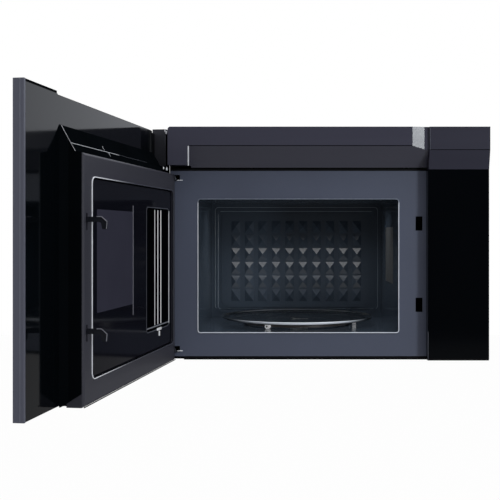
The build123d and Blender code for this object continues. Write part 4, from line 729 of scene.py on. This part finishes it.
def hinge_side():
    """Painted shadow along the choke cover's lower edge and round the hinge cap, the cap's painted shade and
    painted glints, and two rivets below painted near white as glints.
    """
    line = (CHOKE_FACE - 0.3, CHOKE_ZS[0] + 0.6)
    xs, ys, zs = spans("door_hinge_cap")
    form = bmesh.new()
    rod(form, (CHOKE_XS[0] + 1, *line), (CHOKE_XS[1] - 1, *line), 0.8)
    block(form, (-299.0, -254.0), (-380.0, -360.5), (CHOKE_ZS[1] + 0.3, CREASE_Z))
    block(form, grown(xs, -0.1), (-378.0, ys[1] - 0.2), (CHOKE_ZS[1] + 0.5, zs[0] + 0.3))
    block(form, grown(xs, -0.2), (ys[0] + 0.2, ys[0] + 5), (zs[1] - 8, zs[1] - 0.3))
    piece("door_shadow_edges", form, shadow_black, "door", edge=0.3)
    # Painted shade, a painted glint and a painted highlight line on the hinge cap.
    cap_face = (xs[1] - 0.1, xs[1] + 0.2)
    for name, finish, marks in (
            ("hinge_cap_shade", shadow_black, [((-369.3, -362.3), (150.5, 211.5))]),
            ("hinge_cap_corner", bright_grey, [((-371.8, -369.3), (216.0, 220.6)),
                                               ((-369.5, -366.8), (211.8, 217.4))]),
            ("hinge_cap_line", seam_grey, [((-370.4, -369.6), (150.6, 209.0))])):
        form = bmesh.new()
        for depths, heights in marks:
            block(form, cap_face, depths, heights)
        piece(name, form, finish, "door", edge=0.05)
    # Two rivets painted near white as painted glints.
    depth, middle = -360.7, 142.8
    form = bmesh.new()
    for x, radius, tall in ((-256.5, 1.6, 4.6), (-277.0, 2.6, 6.0)):
        low, high = about(middle, tall / 2)
        rod(form, (x, depth, low), (x, depth, high), radius, sides=20)
    piece("hinge_rivets", form, pin_steel, "door", edge=0.5, segments=3)


def hook_edges():
    """Painted highlights along the noses of the latch lever's two hooks."""
    nose, side, radius = spans("latch_lever")[1][1], 175.0, 0.55
    form = bmesh.new()
    for top in (44.5, -111.5):
        path = [(nose - 15, top), (nose - 8, top), (nose, top - 7), (nose - 1, top - 17)]
        for start, end in zip(path, path[1:]):
            rod(form, (side, *start), (side, *end), radius, sides=8)
    piece("hook_edges", form, rim_dim, "latch", smooth=60)


def door_front():
    """What is printed on the door's glass: border, clock with its field, touch figures and two plain keys."""
    print_depth = (GLASS_FACE - 0.12, GLASS_FACE)
    form = bmesh.new()
    ring(form, (-262.0, 150.0), (-176.0, 176.0), 10.0, 1.2, print_depth)
    plate(form, (210.0, 288.0), (128.0, 160.0), 3.0, print_depth)
    piece("glass_border", form, glass_window, "door")
    key_column, key_row, key_size = 22, 24, 11
    middle_x, top_z = 249, 84
    clock_size, clock_z = 20, 144
    form = bmesh.new()
    for row, keys in enumerate(("123", "456", "789", " 0 ")):
        for column, key in enumerate(keys):
            if key != " ":
                place = (middle_x + key_column * (column - 1), top_z - key_row * row)
                form.from_mesh(lettering(key, key_size, place, GLASS_FACE - 0.07))
    form.from_mesh(lettering("12:00", clock_size, (middle_x, clock_z), GLASS_FACE - 0.2))
    for x in (231.0, 267.0):
        ring(form, about(x, 11), (-42.0, -26.0), 4.0, 0.7, print_depth)
    piece("touch_figures", form, print_white, "door", smooth=0)


# ---------------------------------------------------------------- turntable

def glass_tray():
    """The moulded glass plate with its sunk middle and its ground, rolled rim."""
    xs, ys, (low, high) = spans("turntable_tray")
    centre = (sum(xs) / 2, sum(ys) / 2, 0)
    edge = (xs[1] - xs[0]) / 2
    form = bmesh.new()
    lathe(form, centre,
          [(2, low), (60, low), (61, low - 0.3), (66, low - 0.3), (67, low), (edge - 17, low),
           (edge - 10, low + 0.6), (edge - 5, low + 2.6), (edge - 0.5, low + 5.0), (edge - 0.1, low + 5.8),
           (edge - 0.3, high - 0.7), (edge - 1.4, high - 0.1), (edge - 2.6, high - 0.7),
           (edge - 6.5, high - 2.8), (edge - 11, high - 4.0), (edge - 18, high - 4.2), (2, high - 4.2)])
    piece("glass_tray", form, tray_glass, "turntable", smooth=50, replaces=("turntable_tray",))
    form = bmesh.new()
    lathe(form, centre,
          [(edge - 1.6, high - 4.8), (edge - 0.5, high - 3.4), (edge, high - 1.4), (edge - 0.5, high - 0.3),
           (edge - 1.6, high), (edge - 2.9, high - 0.5), (edge - 2.7, high - 0.6), (edge - 1.6, high - 0.15),
           (edge - 0.9, high - 0.6), (edge - 0.9, high - 3.2)])
    piece("tray_rim", form, ground_glass, "turntable", smooth=60)


# ---------------------------------------------------------------- filters and screws

def grease_filter(side):
    """A grease filter: three layers of crossed wire in a flat frame."""
    node = "grease_filter_" + side
    xs, ys, zs = spans(node)
    rim, corner, wires, radius, wire_sides = 6.0, 3.0, 33, 0.55, 6
    form = bmesh.new()
    ring(form, xs, ys, corner, rim, zs, level=True)
    piece("filter_edge_" + side, form, bare_aluminium, side + "_filter", edge=0.8)

    def evenly(low, high):
        """The places of the wires, the first and the last 1 mm under the frame."""
        return [low + rim - 1 + (high - low - 2 * rim + 2) * step / (wires - 1) for step in range(wires)]

    left, right = grown(xs, -3)
    front, back = grown(ys, -3)
    form = bmesh.new()
    for y in evenly(*ys):
        for layer in (0.3, 0.7):
            z = zs[0] + (zs[1] - zs[0]) * layer
            rod(form, (left, y, z), (right, y, z), radius, wire_sides)
    z = sum(zs) / 2
    for x in evenly(*xs):
        rod(form, (x, front, z), (x, back, z), radius, wire_sides)
    piece("filter_mesh_" + side, form, mesh_metal, side + "_filter", replaces=(node,))


def screw_crosses():
    """Cross recesses in the heads of the case's screws."""
    xs, ys, zs = spans("case_screws")
    head_radius, arm, half_width, depth = 3.5, 1.7, 0.35, 0.1
    z = sum(zs) / 2
    form = bmesh.new()
    for x in xs:
        for y in (ys[0] + head_radius, sum(ys) / 2, ys[1] - head_radius):
            block(form, about(x, depth), about(y, arm), about(z, half_width))
            block(form, about(x, depth), about(y, half_width), about(z, arm))
    piece("screw_crosses", form, shadow_black, "case")


opening_rim()
cavity_beads()
case_ribs()
trim_lines()
hinge_pins()
window_rim()
window_layers()
filler_creases()
hinge_side()
hook_edges()
door_front()
glass_tray()
for side in ("left", "right"):
    grease_filter(side)
screw_crosses()


# ---------------------------------------------------------------- light and camera (lengths in metres)

WHITE = (1, 1, 1, 1)
FLOOR_HEIGHT, FLOOR_REACH = -1.25, 9
OVEN_MIDDLE_X = -0.057


def softbox(name, place, aim, size, power, colour=(1, 1, 1)):
    """A rectangular studio lamp that faces a point."""
    lamp = bpy.data.lights.new(name, "AREA")
    lamp.shape = "RECTANGLE"
    lamp.size, lamp.size_y = size
    lamp.energy = power
    lamp.color = colour
    stand = bpy.data.objects.new(name, lamp)
    bpy.context.scene.collection.objects.link(stand)
    stand.location = place
    stand.rotation_euler = (Vector(aim) - Vector(place)).to_track_quat("-Z", "Y").to_euler()
    return stand


softbox("overhead_light", (0.0, -1.2, 2.4), aim=(0, -0.3, 0), size=(2.6, 1.6), power=28)
softbox("right_light", (1.75, -2.5, 0.45), aim=(0.1, -0.35, 0.05), size=(0.4, 1.8), power=27.5,
        colour=(0.93, 0.975, 1.0))
softbox("left_light", (-2.6, -2.2, 0.8), aim=(0, -0.4, 0), size=(1.0, 1.8), power=9)
# Two weak lamps that the camera doesn't see stand for the room's light in the oven.
oven_light = softbox("oven_light", (OVEN_MIDDLE_X, -0.17, 0.083), aim=(OVEN_MIDDLE_X, -0.17, -0.1),
                     size=(0.35, 0.096), power=0.31)
oven_bounce = softbox("oven_bounce", (OVEN_MIDDLE_X, -0.108, -0.149), aim=(OVEN_MIDDLE_X, -0.108, 0.1),
                      size=(0.33, 0.085), power=0.04)
for stand in (oven_light, oven_bounce):
    stand.visible_camera = False
    stand.data.spread = radians(125)

# The sky is white to the camera, dimmer as plain light, and dark behind the viewer in mirrors.
world = bpy.data.worlds.new("studio")
bpy.context.scene.world = world
sky = Finish("studio", world)
path = sky.node("LightPath")
seen = path["Is Camera Ray"]
shiny = sky.node("Math", {"operation": "MAXIMUM"},
                 {0: path["Is Glossy Ray"], 1: path["Is Transmission Ray"]})[0]
ahead = sky.node("SeparateXYZ", None, {0: sky.node("TexCoord")["Generated"]})["Y"]
backdrop = sky.ramp(ahead, -0.15, 0.1, low=0.06)
level = seen + (1 - seen) * (shiny * backdrop + (1 - shiny) * 0.55)
tint = sky.mix(shiny * (1 - seen), WHITE, (0.90, 0.93, 1.0, 1))
air = sky.node("Background", None, {"Color": tint, "Strength": level})[0]
sky.node("OutputWorld", None, {"Surface": air})

# The floor is near white to the camera, grey as a reflector, and clear from below.
floor_form = bmesh.new()
bmesh.ops.create_grid(floor_form, x_segments=1, y_segments=1, size=FLOOR_REACH,
                      matrix=Matrix.Translation((0, 0, FLOOR_HEIGHT)))
floor_mesh = bpy.data.meshes.new("studio_floor")
floor_form.to_mesh(floor_mesh)
floor_form.free()
floor = bpy.data.objects.new("studio_floor", floor_mesh)
bpy.context.scene.collection.objects.link(floor)
ground = Finish("floor_paint")
seen = ground.node("LightPath")["Is Camera Ray"]
tone = ground.mix(seen, (0.42, 0.42, 0.43, 1), (0.86, 0.86, 0.86, 1))
matt = ground.node("BsdfDiffuse", None, {"Color": tone})[0]
white = ground.node("Emission", None, {"Color": WHITE, "Strength": 1.0})[0]
above = ground.node("MixShader", None, {0: seen * 0.97, 1: matt, 2: white})[0]
clear = ground.node("BsdfTransparent")[0]
from_below = ground.node("NewGeometry")["Backfacing"] * seen
both = ground.node("MixShader", None, {0: from_below, 1: above, 2: clear})[0]
ground.node("OutputMaterial", None, {"Surface": both})
floor_mesh.materials.append(ground.data)

lens = bpy.data.cameras.new("camera")
lens.sensor_width = 36
lens.lens = 64.44
lens.shift_x = -0.07
lens.shift_y = -0.036
camera = bpy.data.objects.new("camera", lens)
bpy.context.scene.collection.objects.link(camera)
camera.location = (-0.0825, -2.058, 0.0231)
camera.rotation_euler = (radians(90), 0, 0)
bpy.context.scene.camera = camera
bpy.context.scene.view_settings.view_transform = "Standard"
